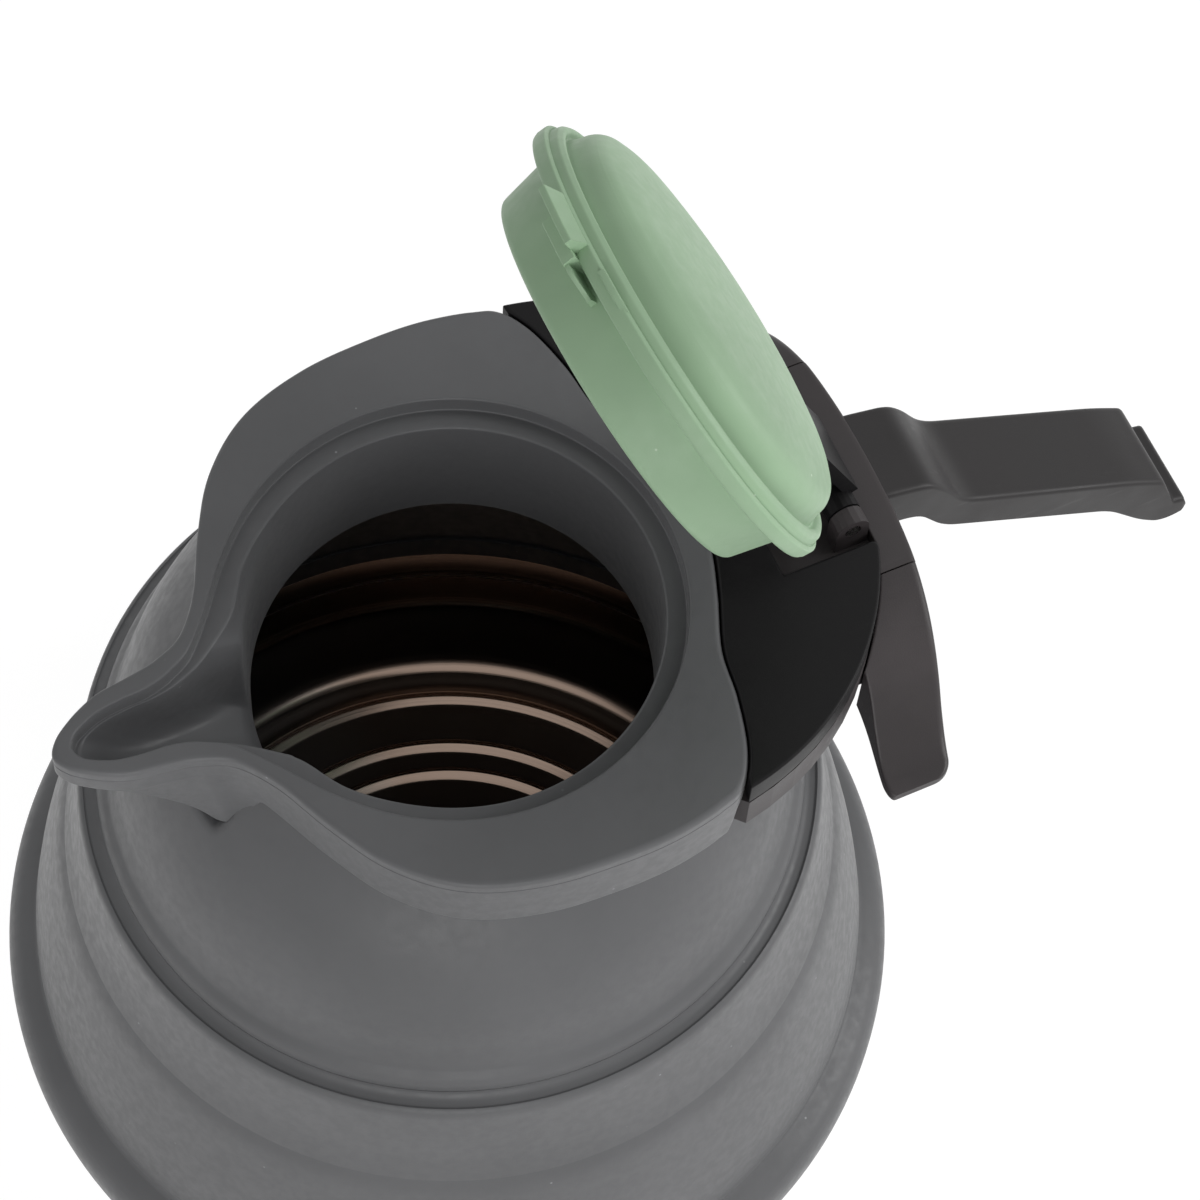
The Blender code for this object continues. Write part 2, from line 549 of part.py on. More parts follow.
def make_collar():
    """The silicone collar in one loft round the mouth: skirt, flat top, recess for the lid, spout channel and neck."""
    angle_outer, outer = round_outline(COLLAR_OUTLINE_SHARES)
    angle_lip, lip = round_outline(LIP_OUTLINE_SHARES)
    angle_throat, throat = round_outline(THROAT_OUTLINE_SHARES)
    angle_channel, channel = round_outline(CHANNEL_OUTLINE_SHARES)
    angle_skirt, skirt = round_outline(SKIRT_NOSE_SHARES + COLLAR_OUTLINE_SHARES[len(SKIRT_NOSE_SHARES):])
    away = np.minimum(angle_outer, 360 - angle_outer)
    nose = 1 - smooth_step(away, *NOSE_ANGLES)
    skirt_end = smooth_step(away, *SKIRT_END_ANGLES)
    mouth_keys = np.array(CHANNEL_MOUTH_SHARES)
    even = angle_channel
    even_away = np.minimum(np.abs(even), np.abs(360 - even))
    mouth = np.interp(even_away, mouth_keys[:, 0], mouth_keys[:, 1]) * MOUTH_RADIUS

    plate_low = TOP_HEIGHT - COLLAR_WALL
    ledge_low = LEDGE_HEIGHT - COLLAR_WALL
    neck_low = LEDGE_HEIGHT - NECK_DEPTH
    neck_in = MOUTH_RADIUS - NECK_TAPER
    nose_low = SHOULDER_TOP_HEIGHT + SEAT_GAP
    skirt_in = skirt - COLLAR_WALL
    roomy = smooth_step(skirt_in, RECESS_RADIUS + COLLAR_WALL, RECESS_RADIUS + COLLAR_WALL * 2)
    under_outer = ledge_low + PLATE_STUB + (plate_low - ledge_low - PLATE_STUB) * roomy
    under_outer = under_outer + (nose_low - under_outer) * nose
    under_inner = ledge_low + (nose_low - ledge_low) * nose
    skirt_bottom = nose_low + (ledge_low - nose_low) * skirt_end
    step_under = np.minimum(RECESS_RADIUS + COLLAR_WALL, skirt_in - PLATE_STUB)
    rings = [
        ring_at(angle_outer, outer, TOP_HEIGHT - COLLAR_EDGE),
        ring_at(angle_outer, outer - COLLAR_EDGE * 0.3, TOP_HEIGHT - COLLAR_EDGE * 0.3),
        ring_at(angle_outer, outer - COLLAR_EDGE, TOP_HEIGHT),
        ring_at(angle_lip, lip + LIP_EDGE, TOP_HEIGHT),
        ring_at(angle_lip, lip, TOP_HEIGHT - LIP_EDGE),
        ring_at(angle_lip, lip, LEDGE_HEIGHT),
        ring_at(angle_throat, throat, LEDGE_HEIGHT),
        ring_at(angle_channel, channel, LEDGE_HEIGHT - CHANNEL_DEPTH),
        ring_at(even, mouth, LEDGE_HEIGHT - CHANNEL_MOUTH_DEPTH),
        ring_at(even, np.full(len(even), neck_in), neck_low),
        ring_at(even, np.full(len(even), neck_in + COLLAR_WALL), neck_low),
        ring_at(even, np.full(len(even), MOUTH_RADIUS + COLLAR_WALL), under_inner),
        ring_at(angle_skirt, step_under, under_inner),
        ring_at(angle_skirt, step_under, under_outer),
        ring_at(angle_skirt, skirt_in, under_outer),
        ring_at(angle_skirt, skirt_in, skirt_bottom),
        ring_at(angle_skirt, skirt, skirt_bottom),
        ring_at(angle_outer, outer, ledge_low),
    ]
    add_mesh("spout_collar", *loft(rings, True), GREY)


def bracket_arc(radius, angle, steps=28):
    """Points on the bracket's outer circle, from minus angle to plus angle about the +X direction."""
    turns = np.radians(np.linspace(-angle, angle, steps + 1))
    return np.column_stack([BRACKET_CENTRE_X + radius * np.cos(turns), radius * np.sin(turns)])


def on_bracket(inward, angle):
    """The place inside the bracket's outer circle by this distance, at this angle from the +X direction."""
    turn = math.radians(angle)
    radius = BRACKET_RADIUS - inward
    return BRACKET_CENTRE_X + radius * math.cos(turn), radius * math.sin(turn)


def collar_line(offset, start, end):
    """Points of the collar's outline moved outwards by offset, where its angle from the spout is start to end."""
    angles, radii = round_outline(COLLAR_OUTLINE_SHARES)
    picked = (angles >= start) & (angles <= end)
    return ring_at(angles[picked], radii[picked] + offset, 0)[:, :2]


def screw(name, x, y, head_top, reach):
    """A pan-head screw driven upwards: its head hangs below head_top and its shaft reaches up by reach."""
    low = head_top - SCREW_HEAD_HEIGHT
    outline = [(0, low), (SCREW_HEAD_RADIUS - SCREW_HEAD_EDGE, low), (SCREW_HEAD_RADIUS, low + SCREW_HEAD_EDGE),
               (SCREW_HEAD_RADIUS, head_top), (SCREW_RADIUS, head_top), (SCREW_RADIUS, head_top + reach),
               (0, head_top + reach)]
    return add_mesh(name, *turned(outline, FINE_SEGMENTS // 2, (x, y)), METAL)


def screw_hole(name, x, y, low, high):
    """A clearance hole for a screw's shaft."""
    radius = SCREW_RADIUS + SCREW_GAP
    outline = [(0, low), (radius, low), (radius, high), (0, high)]
    return cutter(name, *turned(outline, FINE_SEGMENTS // 2, (x, y)))


def make_bracket():
    """The black bracket: a frame whose ring grips the neck under the collar, its crescent cover, and four screws."""
    seam = TOP_HEIGHT - COVER_THICKNESS
    frame_low = FRAME_BOTTOM
    frame_top = min(seam - SEAT_GAP, frame_low + FRAME_THICKNESS)
    horn = bracket_arc(BRACKET_RADIUS, BRACKET_HORN_ANGLE)

    inside = COLLAR_WALL + SEAT_GAP
    near = collar_line(-inside, FRAME_START_ANGLE, SKIRT_END_ANGLES[1])
    far = collar_line(-inside, 360 - SKIRT_END_ANGLES[1], 360 - FRAME_START_ANGLE)
    neck = MOUTH_RADIUS + COLLAR_WALL + FRAME_NECK_GAP
    turns = np.linspace(360 - FRAME_START_ANGLE, FRAME_START_ANGLE, ROUND_SEGMENTS // 2)
    ring = ring_at(turns, np.full(len(turns), neck), 0)[:, :2]
    outline = np.concatenate([near, horn[::-1] if near[-1][1] > 0 else horn, far, ring])
    frame = add_mesh("bracket_frame", *prism(outline, frame_low, frame_top), BLACK)
    for side, tag in ((-1, "near"), (1, "far")):
        turns = np.radians(np.linspace(0, 180, 9))
        lug = [(HINGE_X + KNUCKLE_RADIUS * math.cos(a), HINGE_HEIGHT + KNUCKLE_RADIUS * math.sin(a)) for a in turns]
        root = frame_top - SEAT_GAP * 2
        lug += [(HINGE_X - KNUCKLE_RADIUS, root), (HINGE_X + KNUCKLE_RADIUS, root)]
        middle = side * (LUG_INNER_Y + LUG_THICKNESS / 2)
        block = cutter(f"lug_{tag}_form", *across(lug, LUG_THICKNESS / 2, middle))
        combine(frame, block, "UNION")
    bore = HINGE_PIN_RADIUS + HINGE_PIN_GAP
    reach = LUG_INNER_Y + LUG_THICKNESS + OVERRUN
    combine(frame, cutter("lug_bore", *across(circle_xz(HINGE_X, HINGE_HEIGHT, bore), reach)), "DIFFERENCE")

    gap = SEAT_GAP
    line = collar_line(gap, COVER_START_ANGLE, 360 - COVER_START_ANGLE)
    arc = horn if line[-1][1] < 0 else horn[::-1]
    crescent = np.concatenate([line, arc])
    cover = add_mesh("bracket_cover", *prism(crescent, seam, TOP_HEIGHT, BRACKET_EDGE), BLACK)
    slot_back = BRACKET_BACK_X + OVERRUN
    slot = box((SLOT_FRONT_X, -SLOT_HALF_WIDTH, seam - OVERRUN), (slot_back, SLOT_HALF_WIDTH, TOP_HEIGHT + OVERRUN))
    combine(cover, cutter("hinge_slot", *slot), "DIFFERENCE")

    bite = frame_top - frame_low + SCREW_BITE
    tongue = YOKE_FLANGE_THICKNESS + SEAT_GAP
    side_x, side_y = on_bracket(SIDE_SCREW_INSET, SIDE_SCREW_ANGLE)
    tongue_x, tongue_y = on_bracket(TONGUE_SCREW_INSET, TONGUE_SCREW_ANGLE)
    places = ((side_x, -side_y, 0), (side_x, side_y, 0), (tongue_x, -tongue_y, tongue), (tongue_x, tongue_y, tongue))
    for number, (x, y, under) in enumerate(places, 1):
        head_top = frame_low - SEAT_GAP - under
        screw(f"bracket_screw_{number}", x, y, head_top, bite + under)
        hole = screw_hole(f"frame_hole_{number}", x, y, head_top, frame_top + OVERRUN)
        combine(frame, hole, "DIFFERENCE")
        hole = screw_hole(f"cover_hole_{number}", x, y, frame_top, head_top + bite + under + SEAT_GAP)
        combine(cover, hole, "DIFFERENCE")
    return frame, frame_low


def circle_xz(x, z, radius, steps=FINE_SEGMENTS):
    """Points of a circle in the XZ plane."""
    turns = np.arange(steps) * (2 * math.pi / steps)
    return np.column_stack([x + radius * np.cos(turns), z + radius * np.sin(turns)])


def yoke_line(shares, y):
    """Height of the yoke's top or bottom line at this distance from the middle."""
    keys = np.array(shares)
    return LEDGE_HEIGHT + np.interp(abs(y) / WING_TIP_Y, keys[:, 0], keys[:, 1]) * WING_DEPTH


def yoke_front(y):
    """The yoke's front face: it hugs the bracket's round wall, and runs straight on where the wall turns away."""
    hug = BRACKET_RADIUS + SEAT_GAP
    return max(BRACKET_CENTRE_X + math.sqrt(max(hug ** 2 - y ** 2, 0)), WING_FRONT_X)


def yoke_back(y):
    """The yoke's rear face, swept forwards a little towards the wing tips."""
    return YOKE_BACK_X - YOKE_BACK_SWEEP * (y / WING_TIP_Y) ** 2


def wing_places(first):
    """Distances from the middle of a wing's sections, and how far each one's rear stands in round the tip's corner."""
    places = [(y, 0.0) for y in np.linspace(first, WING_TIP_Y - WING_CORNER, WING_STATIONS)]
    for turn in np.radians(WING_CORNER_ANGLES):
        places.append((WING_TIP_Y - WING_CORNER * (1 - math.sin(turn)), WING_CORNER * (1 - math.cos(turn))))
    return places


def yoke_section(y, front, back, top, bottom, edge):
    """One upright section of the yoke with softened upper corners."""
    edge = min(edge, (back - front) * 0.2, (top - bottom) * 0.3)
    return [(front, y, bottom), (back, y, bottom), (back, y, top - edge), (back - edge * 0.3, y, top - edge * 0.3),
            (back - edge, y, top), (front + edge, y, top), (front + edge * 0.3, y, top - edge * 0.3),
            (front, y, top - edge)]


def make_handle(frame, frame_low):
    """The handle bar with its yoke and fixing flange in one moulding, a wing on either side, and two screws."""
    stations = np.linspace(-YOKE_HALF_WIDTH, YOKE_HALF_WIDTH, WING_STATIONS + 1)
    sections = [yoke_section(y, yoke_front(y), yoke_back(y), yoke_line(YOKE_TOP_SHARES, y),
                             yoke_line(YOKE_BOTTOM_SHARES, y), WING_EDGE) for y in stations]
    yoke = add_mesh("handle_bar", *loft(sections, False), BLACK)

    root_x = BRACKET_BACK_X + SEAT_GAP
    root_z = LEDGE_HEIGHT + BAR_TOP_RISE
    profile = [(root_x + BAR_LENGTH * run, root_z - BAR_DROP * fall) for run, fall in BAR_TOP_SHARES]
    profile += [(root_x + BAR_LENGTH * run, root_z - BAR_DROP * fall) for run, fall in BAR_BOTTOM_SHARES]
    profile += [(root_x, root_z - BAR_DROP * BAR_BOTTOM_SHARES[-1][1])]
    bar = cutter("bar_form", *across(rounded(profile, BAR_ROUNDING), BAR_HALF_WIDTH))
    combine(yoke, bar, "UNION")

    flange_top = frame_low - SEAT_GAP
    flange = box((YOKE_FLANGE_FRONT_X, -YOKE_FLANGE_HALF_WIDTH, flange_top - YOKE_FLANGE_THICKNESS),
                 (root_x + SEAT_GAP * 3, YOKE_FLANGE_HALF_WIDTH, flange_top))
    combine(yoke, cutter("flange_form", *flange), "UNION")
    sill_half = SLOT_HALF_WIDTH - SEAT_GAP
    sill = box((HINGE_X + KNUCKLE_RADIUS + SILL_GAP, -sill_half, frame_low + FRAME_THICKNESS + SEAT_GAP),
               (root_x + SEAT_GAP * 3, sill_half, LEDGE_HEIGHT - WING_EDGE))
    combine(yoke, cutter("sill_form", *sill), "UNION")

    start, end = BAR_POCKET_START_SHARE, BAR_POCKET_END_SHARE
    pitch = (end - start) / BAR_POCKETS
    rib = BAR_POCKET_RIB / BAR_LENGTH
    runs = np.array([run for run, _ in BAR_BOTTOM_SHARES[::-1]])
    falls = np.array([fall for _, fall in BAR_BOTTOM_SHARES[::-1]])
    for i in range(BAR_POCKETS):
        ends = (start + pitch * i + rib / 2, start + pitch * (i + 1) - rib / 2)
        under = [(root_x + BAR_LENGTH * run, root_z - BAR_DROP * np.interp(run, runs, falls)) for run in ends]
        outline = [(under[0][0], under[0][1] - OVERRUN), (under[1][0], under[1][1] - OVERRUN),
                   (under[1][0], under[1][1] + POCKET_DEPTH), (under[0][0], under[0][1] + POCKET_DEPTH)]
        pocket = cutter(f"bar_pocket_{i + 1}", *across(outline, BAR_HALF_WIDTH - BAR_WALL))
        combine(yoke, pocket, "DIFFERENCE")

    bite = YOKE_FLANGE_THICKNESS + SEAT_GAP + SCREW_BITE
    for number, y in enumerate((-YOKE_SCREW_Y, YOKE_SCREW_Y), 1):
        head_top = flange_top - YOKE_FLANGE_THICKNESS - SEAT_GAP
        screw(f"handle_screw_{number}", YOKE_SCREW_X, y, head_top, bite)
        hole = screw_hole(f"flange_hole_{number}", YOKE_SCREW_X, y, head_top - OVERRUN, flange_top + OVERRUN)
        combine(yoke, hole, "DIFFERENCE")
        hole = screw_hole(f"handle_hole_{number}", YOKE_SCREW_X, y, frame_low - OVERRUN, head_top + bite + SEAT_GAP)
        combine(frame, hole, "DIFFERENCE")

    for side, tag in ((-1, "near"), (1, "far")):
        make_wing(side, f"handle_wing_{tag}", flange_top)


def make_wing(side, name, tongue_top):
    """One wing: an open-bottomed moulding that carries the yoke's arch round the collar, with a tongue to fix it."""
    first = YOKE_HALF_WIDTH + SEAT_GAP
    shell, pocket = [], []
    for y, setback in wing_places(first):
        top = yoke_line(YOKE_TOP_SHARES, y)
        bottom = min(yoke_line(YOKE_BOTTOM_SHARES, y), top - WING_WALL)
        shell.append(yoke_section(side * y, yoke_front(y), yoke_back(y) - setback, top, bottom, WING_EDGE))
    for y in np.linspace(first + WING_WALL, WING_TIP_Y - WING_CORNER, WING_STATIONS // 2):
        top = yoke_line(YOKE_TOP_SHARES, y) - WING_WALL
        bottom = LEDGE_HEIGHT - WING_DEPTH - OVERRUN
        pocket.append(yoke_section(side * y, yoke_front(y) + WING_WALL, yoke_back(y) - WING_WALL, top, bottom,
                                   WING_POCKET_ROUND))
    wing = add_mesh(name, *loft(shell, False), BLACK)
    combine(wing, cutter(f"{name}_pocket", *loft(pocket, False)), "DIFFERENCE")
    screw_x, screw_y = on_bracket(TONGUE_SCREW_INSET, TONGUE_SCREW_ANGLE)
    y_low, y_high = side * screw_y - TONGUE_WIDTH / 2, side * screw_y + TONGUE_WIDTH / 2
    front = screw_x - TONGUE_WIDTH / 2
    back = yoke_front(screw_y - TONGUE_WIDTH / 2) + WING_WALL / 2
    tongue = box((front, y_low, tongue_top - YOKE_FLANGE_THICKNESS), (back, y_high, tongue_top))
    combine(wing, cutter(f"{name}_tongue", *tongue), "UNION")
    hole = screw_hole(f"{name}_hole", screw_x, side * screw_y, tongue_top - OVERRUN * 2, tongue_top + OVERRUN)
    combine(wing, hole, "DIFFERENCE")


def make_lid():
    """The green lid with its stiffener cup, hinge arm, pin and screws, made shut and then swung open about the pin."""
    base = LEDGE_HEIGHT + SEAT_GAP
    flange_top = base + LID_FLANGE_HEIGHT
    plug_low = LEDGE_HEIGHT - LID_PLUG_DEPTH
    plug_end = LID_PLUG_RADIUS - LID_PLUG_TAPER
    plug_in = CORE_RADIUS + SEAT_GAP
    dome = [(LID_DOME_RADIUS * r, flange_top + LID_DOME_RISE * rise) for r, rise in DOME_SHARES]
    inner = [(r - LID_WALL, z - LID_WALL) for r, z in dome[:-1] if plug_in > r - LID_WALL > 0]
    outline = [(0, flange_top + LID_DOME_RISE - LID_WALL)] + inner[::-1]
    outline += [(plug_in, inner[0][1] - LID_WALL), (plug_in, plug_low), (plug_end, plug_low), (LID_PLUG_RADIUS, base)]
    outline += along((LID_DOME_RADIUS, base), (LID_FLANGE_RADIUS, flange_top), LID_BEAD_SHARES)
    lid = add_mesh("lid_cover", *turned(outline + dome), GREEN)
    tab_out = LID_FLANGE_RADIUS + TAB_REACH
    tab_in = LID_FLANGE_RADIUS - TAB_REACH
    half, root_half = TAB_WIDTH / 2 - TAB_CORNER, TAB_WIDTH / 2
    tab = [(-tab_out, half), (-tab_out, -half), (-tab_out + TAB_CORNER, -root_half), (-tab_in, -root_half),
           (-tab_in, root_half), (-tab_out + TAB_CORNER, root_half)]
    tab_low = flange_top + TAB_RISE - TAB_THICKNESS
    combine(lid, cutter("tab_form", *prism(tab, tab_low, flange_top + TAB_RISE, TAB_EDGE)), "UNION")

    arm_low = LEDGE_HEIGHT + ARM_BOTTOM
    arm_top = arm_low + ARM_THICKNESS
    slot = box((0, -ARM_HALF_WIDTH - ARM_SLOT_GAP, arm_low - ARM_SLOT_GAP),
               (LID_FLANGE_RADIUS + OVERRUN, ARM_HALF_WIDTH + ARM_SLOT_GAP, arm_top + ARM_SLOT_GAP))
    combine(lid, cutter("arm_slot", *slot), "DIFFERENCE")

    core_low = plug_low + SEAT_GAP
    core_in = CORE_RADIUS - CORE_WALL
    core = [(0, core_low), (CORE_RADIUS, core_low), (CORE_RADIUS, arm_low - ARM_SLOT_GAP),
            (core_in, arm_low - ARM_SLOT_GAP), (core_in, core_low + CORE_WALL), (0, core_low + CORE_WALL)]
    cup = add_mesh("lid_core", *turned(core), BLACK)
    boss_back = math.sqrt(CORE_RADIUS ** 2 - ARM_HALF_WIDTH ** 2) - SEAT_GAP
    boss = box((ARM_FRONT_X, -ARM_HALF_WIDTH, core_low + CORE_WALL - SEAT_GAP),
               (boss_back, ARM_HALF_WIDTH, arm_low - ARM_SLOT_GAP))
    combine(cup, cutter("core_boss", *boss), "UNION")

    plate = box((ARM_FRONT_X, -ARM_HALF_WIDTH, arm_low), (HINGE_X, ARM_HALF_WIDTH, arm_top))
    arm = add_mesh("lid_arm", *plate, BLACK)
    knuckle = cutter("knuckle_form", *across(circle_xz(HINGE_X, HINGE_HEIGHT, KNUCKLE_RADIUS), KNUCKLE_HALF_WIDTH))
    combine(arm, knuckle, "UNION")
    for side in (-1, 1):
        rib = across([(ARM_RIB_FRONT_X, arm_low + SEAT_GAP), (ARM_RIB_FRONT_X + ARM_RIB_DEPTH,
                      arm_low - ARM_RIB_DEPTH), (HINGE_X, HINGE_HEIGHT - KNUCKLE_RADIUS + SEAT_GAP),
                      (HINGE_X, arm_low + SEAT_GAP)], ARM_RIB_WIDTH / 2, side * ARM_RIB_Y)
        combine(arm, cutter("arm_rib_near" if side < 0 else "arm_rib_far", *rib), "UNION")
    bore = HINGE_PIN_RADIUS + HINGE_PIN_GAP
    combine(arm, cutter("arm_bore", *across(circle_xz(HINGE_X, HINGE_HEIGHT, bore), KNUCKLE_HALF_WIDTH + OVERRUN)),
            "DIFFERENCE")
    pin_half = LUG_INNER_Y + LUG_THICKNESS
    pin_round = circle_xz(HINGE_X, HINGE_HEIGHT, HINGE_PIN_RADIUS)
    pin = add_mesh("lid_hinge_pin", *across(pin_round, pin_half), METAL)

    screws = []
    head_top = core_low - SEAT_GAP
    bite = arm_low - core_low + ARM_THICKNESS * 0.7
    for number, y in enumerate((-ARM_SCREW_Y, ARM_SCREW_Y), 1):
        screws.append(screw(f"lid_screw_{number}", ARM_SCREW_X, y, head_top, bite))
        combine(cup, screw_hole(f"cup_hole_{number}", ARM_SCREW_X, y, core_low - OVERRUN, arm_low + OVERRUN),
                "DIFFERENCE")
        combine(arm, screw_hole(f"arm_hole_{number}", ARM_SCREW_X, y, arm_low - OVERRUN,
                                head_top + bite + SEAT_GAP), "DIFFERENCE")
    swing_open([lid, cup, arm, pin] + screws, Vector((HINGE_X, 0, HINGE_HEIGHT)))


def swing_open(pieces, axis_point):
    """Parents the lid's pieces, with their cutters, to an empty on the hinge axis and turns it by the open angle."""
    hinge = bpy.data.objects.new("lid_hinge_axis", None)
    bpy.context.scene.collection.objects.link(hinge)
    hinge.location = axis_point
    for piece in pieces:
        for member in [piece] + [change.object for change in piece.modifiers]:
            member.parent = hinge
            member.matrix_parent_inverse = Matrix.Translation(-axis_point)
    hinge.rotation_euler = (0, math.radians(LID_OPEN_ANGLE), 0)


def main():
    for obj in list(bpy.data.objects):
        bpy.data.objects.remove(obj, do_unlink=True)
    make_base()
    make_body()
    make_collar()
    frame, frame_low = make_bracket()
    make_handle(frame, frame_low)
    make_lid()
    bpy.context.view_layer.update()


main()
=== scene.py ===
"""Finished surfaces and materials of a collapsible silicone kettle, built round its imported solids.

Laid out as an add-on and run as a script. Metres, +Z up, handle towards +X, spout towards -X.
"""

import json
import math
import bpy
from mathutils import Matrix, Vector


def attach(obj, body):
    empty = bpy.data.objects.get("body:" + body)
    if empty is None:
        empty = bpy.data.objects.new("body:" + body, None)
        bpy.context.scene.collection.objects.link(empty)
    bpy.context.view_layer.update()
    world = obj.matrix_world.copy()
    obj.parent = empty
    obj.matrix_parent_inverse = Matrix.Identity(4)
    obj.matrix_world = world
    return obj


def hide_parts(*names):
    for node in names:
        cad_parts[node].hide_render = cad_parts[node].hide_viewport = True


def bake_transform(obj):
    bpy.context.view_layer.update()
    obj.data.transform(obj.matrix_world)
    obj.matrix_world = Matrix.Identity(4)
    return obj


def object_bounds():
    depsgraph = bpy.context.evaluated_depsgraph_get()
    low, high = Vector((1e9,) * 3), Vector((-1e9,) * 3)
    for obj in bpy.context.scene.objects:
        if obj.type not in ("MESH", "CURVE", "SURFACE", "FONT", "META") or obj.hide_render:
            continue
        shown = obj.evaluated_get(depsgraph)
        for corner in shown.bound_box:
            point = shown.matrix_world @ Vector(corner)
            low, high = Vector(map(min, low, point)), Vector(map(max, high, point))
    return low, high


bl_info = {
    "name": "Collapsible Kettle",
    "version": (1, 0, 0),
    "blender": (4, 5, 0),
    "location": "3D View > Sidebar > Kettle",
    "description": "Builds the finished silicone, steel and plastic surfaces of a folding kettle with its studio",
    "category": "Add Mesh",
}

from functools import partial

import bmesh
import bpy
import numpy as np
from bpy.props import FloatProperty, FloatVectorProperty, IntProperty, PointerProperty
from mathutils import Matrix, Vector

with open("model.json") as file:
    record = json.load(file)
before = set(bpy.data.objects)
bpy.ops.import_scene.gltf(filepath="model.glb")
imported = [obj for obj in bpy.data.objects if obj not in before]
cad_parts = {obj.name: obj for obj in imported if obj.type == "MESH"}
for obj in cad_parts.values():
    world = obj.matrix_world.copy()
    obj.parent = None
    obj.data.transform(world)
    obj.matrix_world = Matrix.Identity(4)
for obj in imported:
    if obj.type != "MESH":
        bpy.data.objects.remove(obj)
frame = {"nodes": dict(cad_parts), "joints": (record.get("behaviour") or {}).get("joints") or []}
CAD_BOX = [list(corner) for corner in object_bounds()]

# Levels and radii shared by the pieces: the lid's ledge, the collar's top, the play between pieces, the mouth, the
# lid's recess, the bracket's round and its furthest point
LEDGE = 0.1980
TOP = 0.2022
GAP = 0.0003
MOUTH = 0.0420
RECESS = 0.0465
BRACKET_X = 0.0270
BRACKET_R = 0.0601
BACK = BRACKET_X + BRACKET_R
FLANGE_LEVELS = (0.1817, 0.1847)
HINGE = Vector(next(j["pos_m"] for j in frame["joints"] if j["name"] == "lid_hinge"))
LID_ANGLE = math.radians(-next(j["range_deg"][0] for j in frame["joints"] if j["name"] == "lid_hinge"))

# Collar outlines from above: angle from the spout in degrees, radius as a share of the mouth's. Away from the spout
# three of them keep an even radius
EVEN_ANGLES = (68, 83, 96, 109, 116.5, 121, 126.5, 136, 146, 160, 180)
COLLAR_SHARES = (
    (0, 1.995), (2.3, 1.955), (4.4, 1.875), (6.3, 1.785), (7.7, 1.700), (9.2, 1.560), (11.5, 1.415), (16.5, 1.280),
    (27, 1.222), (41, 1.268), (54, 1.355), (68, 1.432), (83, 1.467), (96, 1.500), (109, 1.568), (116.5, 1.610),
    (121, 1.625), (126.5, 1.565), (136, 1.410), (146, 1.275), (160, 1.245), (180, 1.270),
)
LIP_SHARES = (
    (0, 1.896), (1.9, 1.865), (3.4, 1.790), (4.4, 1.715), (5.2, 1.610), (6.0, 1.480), (8.2, 1.360), (13, 1.240),
    (24, 1.150), (39, 1.115), (53, 1.108), *((angle, 1.105) for angle in EVEN_ANGLES),
)
THROAT_SHARES = (
    (0, 1.865), (1.8, 1.835), (3.2, 1.765), (4.1, 1.690), (4.8, 1.585), (5.5, 1.450), (7.4, 1.320), (12, 1.185),
    (23, 1.040), (38, 1.025), (53, 1.005), *((angle, 1) for angle in EVEN_ANGLES),
)
CHANNEL_SHARES = (
    (0, 1.640), (2.4, 1.620), (3.8, 1.560), (4.9, 1.480), (6.3, 1.390), (8.2, 1.295), (11.5, 1.165), (17, 1.010),
    (27, 0.996), (41, 0.995), (54, 0.995), *((angle, 0.995) for angle in EVEN_ANGLES),
)
SKIRT_SHARES = (
    (0, 1.400), (2.5, 1.400), (5, 1.400), (7.5, 1.400), (10, 1.395), (12.3, 1.385), (14.5, 1.350), (17.5, 1.245),
)
COLLAR_STEPS = 504


# ---- surfaces

SHARP_EDGE = math.radians(38.0)
SAME_POINT, NO_LENGTH = 2e-6, 1e-6


def surface(name, points, material, loop_rows=False, loop_cols=True):
    """A mesh over a grid of points. P(i, j) is joined to P(i+1, j) and P(i, j+1); a looped direction joins its last
    line to its first, and an open run of closed rows gets flat ends. Doubled points, as at a pole, are merged."""
    rows, cols = points.shape[:2]
    index = np.arange(rows * cols).reshape(rows, cols)
    grid = np.concatenate([index, index[:1]]) if loop_rows else index
    grid = np.concatenate([grid, grid[:, :1]], 1) if loop_cols else grid
    quads = np.stack([grid[:-1, :-1], grid[:-1, 1:], grid[1:, 1:], grid[1:, :-1]], -1).reshape(-1, 4).tolist()
    if not loop_rows:
        quads += [index[0, ::-1].tolist(), index[-1].tolist()]
    mesh = bpy.data.meshes.new(name)
    mesh.from_pydata(points.reshape(-1, 3).tolist(), [], quads)
    tidy = bmesh.new()
    tidy.from_mesh(mesh)
    bmesh.ops.remove_doubles(tidy, verts=tidy.verts, dist=SAME_POINT)
    bmesh.ops.dissolve_degenerate(tidy, edges=tidy.edges, dist=NO_LENGTH)
    bmesh.ops.recalc_face_normals(tidy, faces=tidy.faces)
    tidy.to_mesh(mesh)
    tidy.free()
    mesh.shade_smooth()
    mesh.set_sharp_from_angle(angle=SHARP_EDGE)
    mesh.materials.append(material)
    obj = bpy.data.objects.new(name, mesh)
    bpy.context.scene.collection.objects.link(obj)
    even = obj.modifiers.new("even_normals", "WEIGHTED_NORMAL")
    even.keep_sharp = True
    return obj


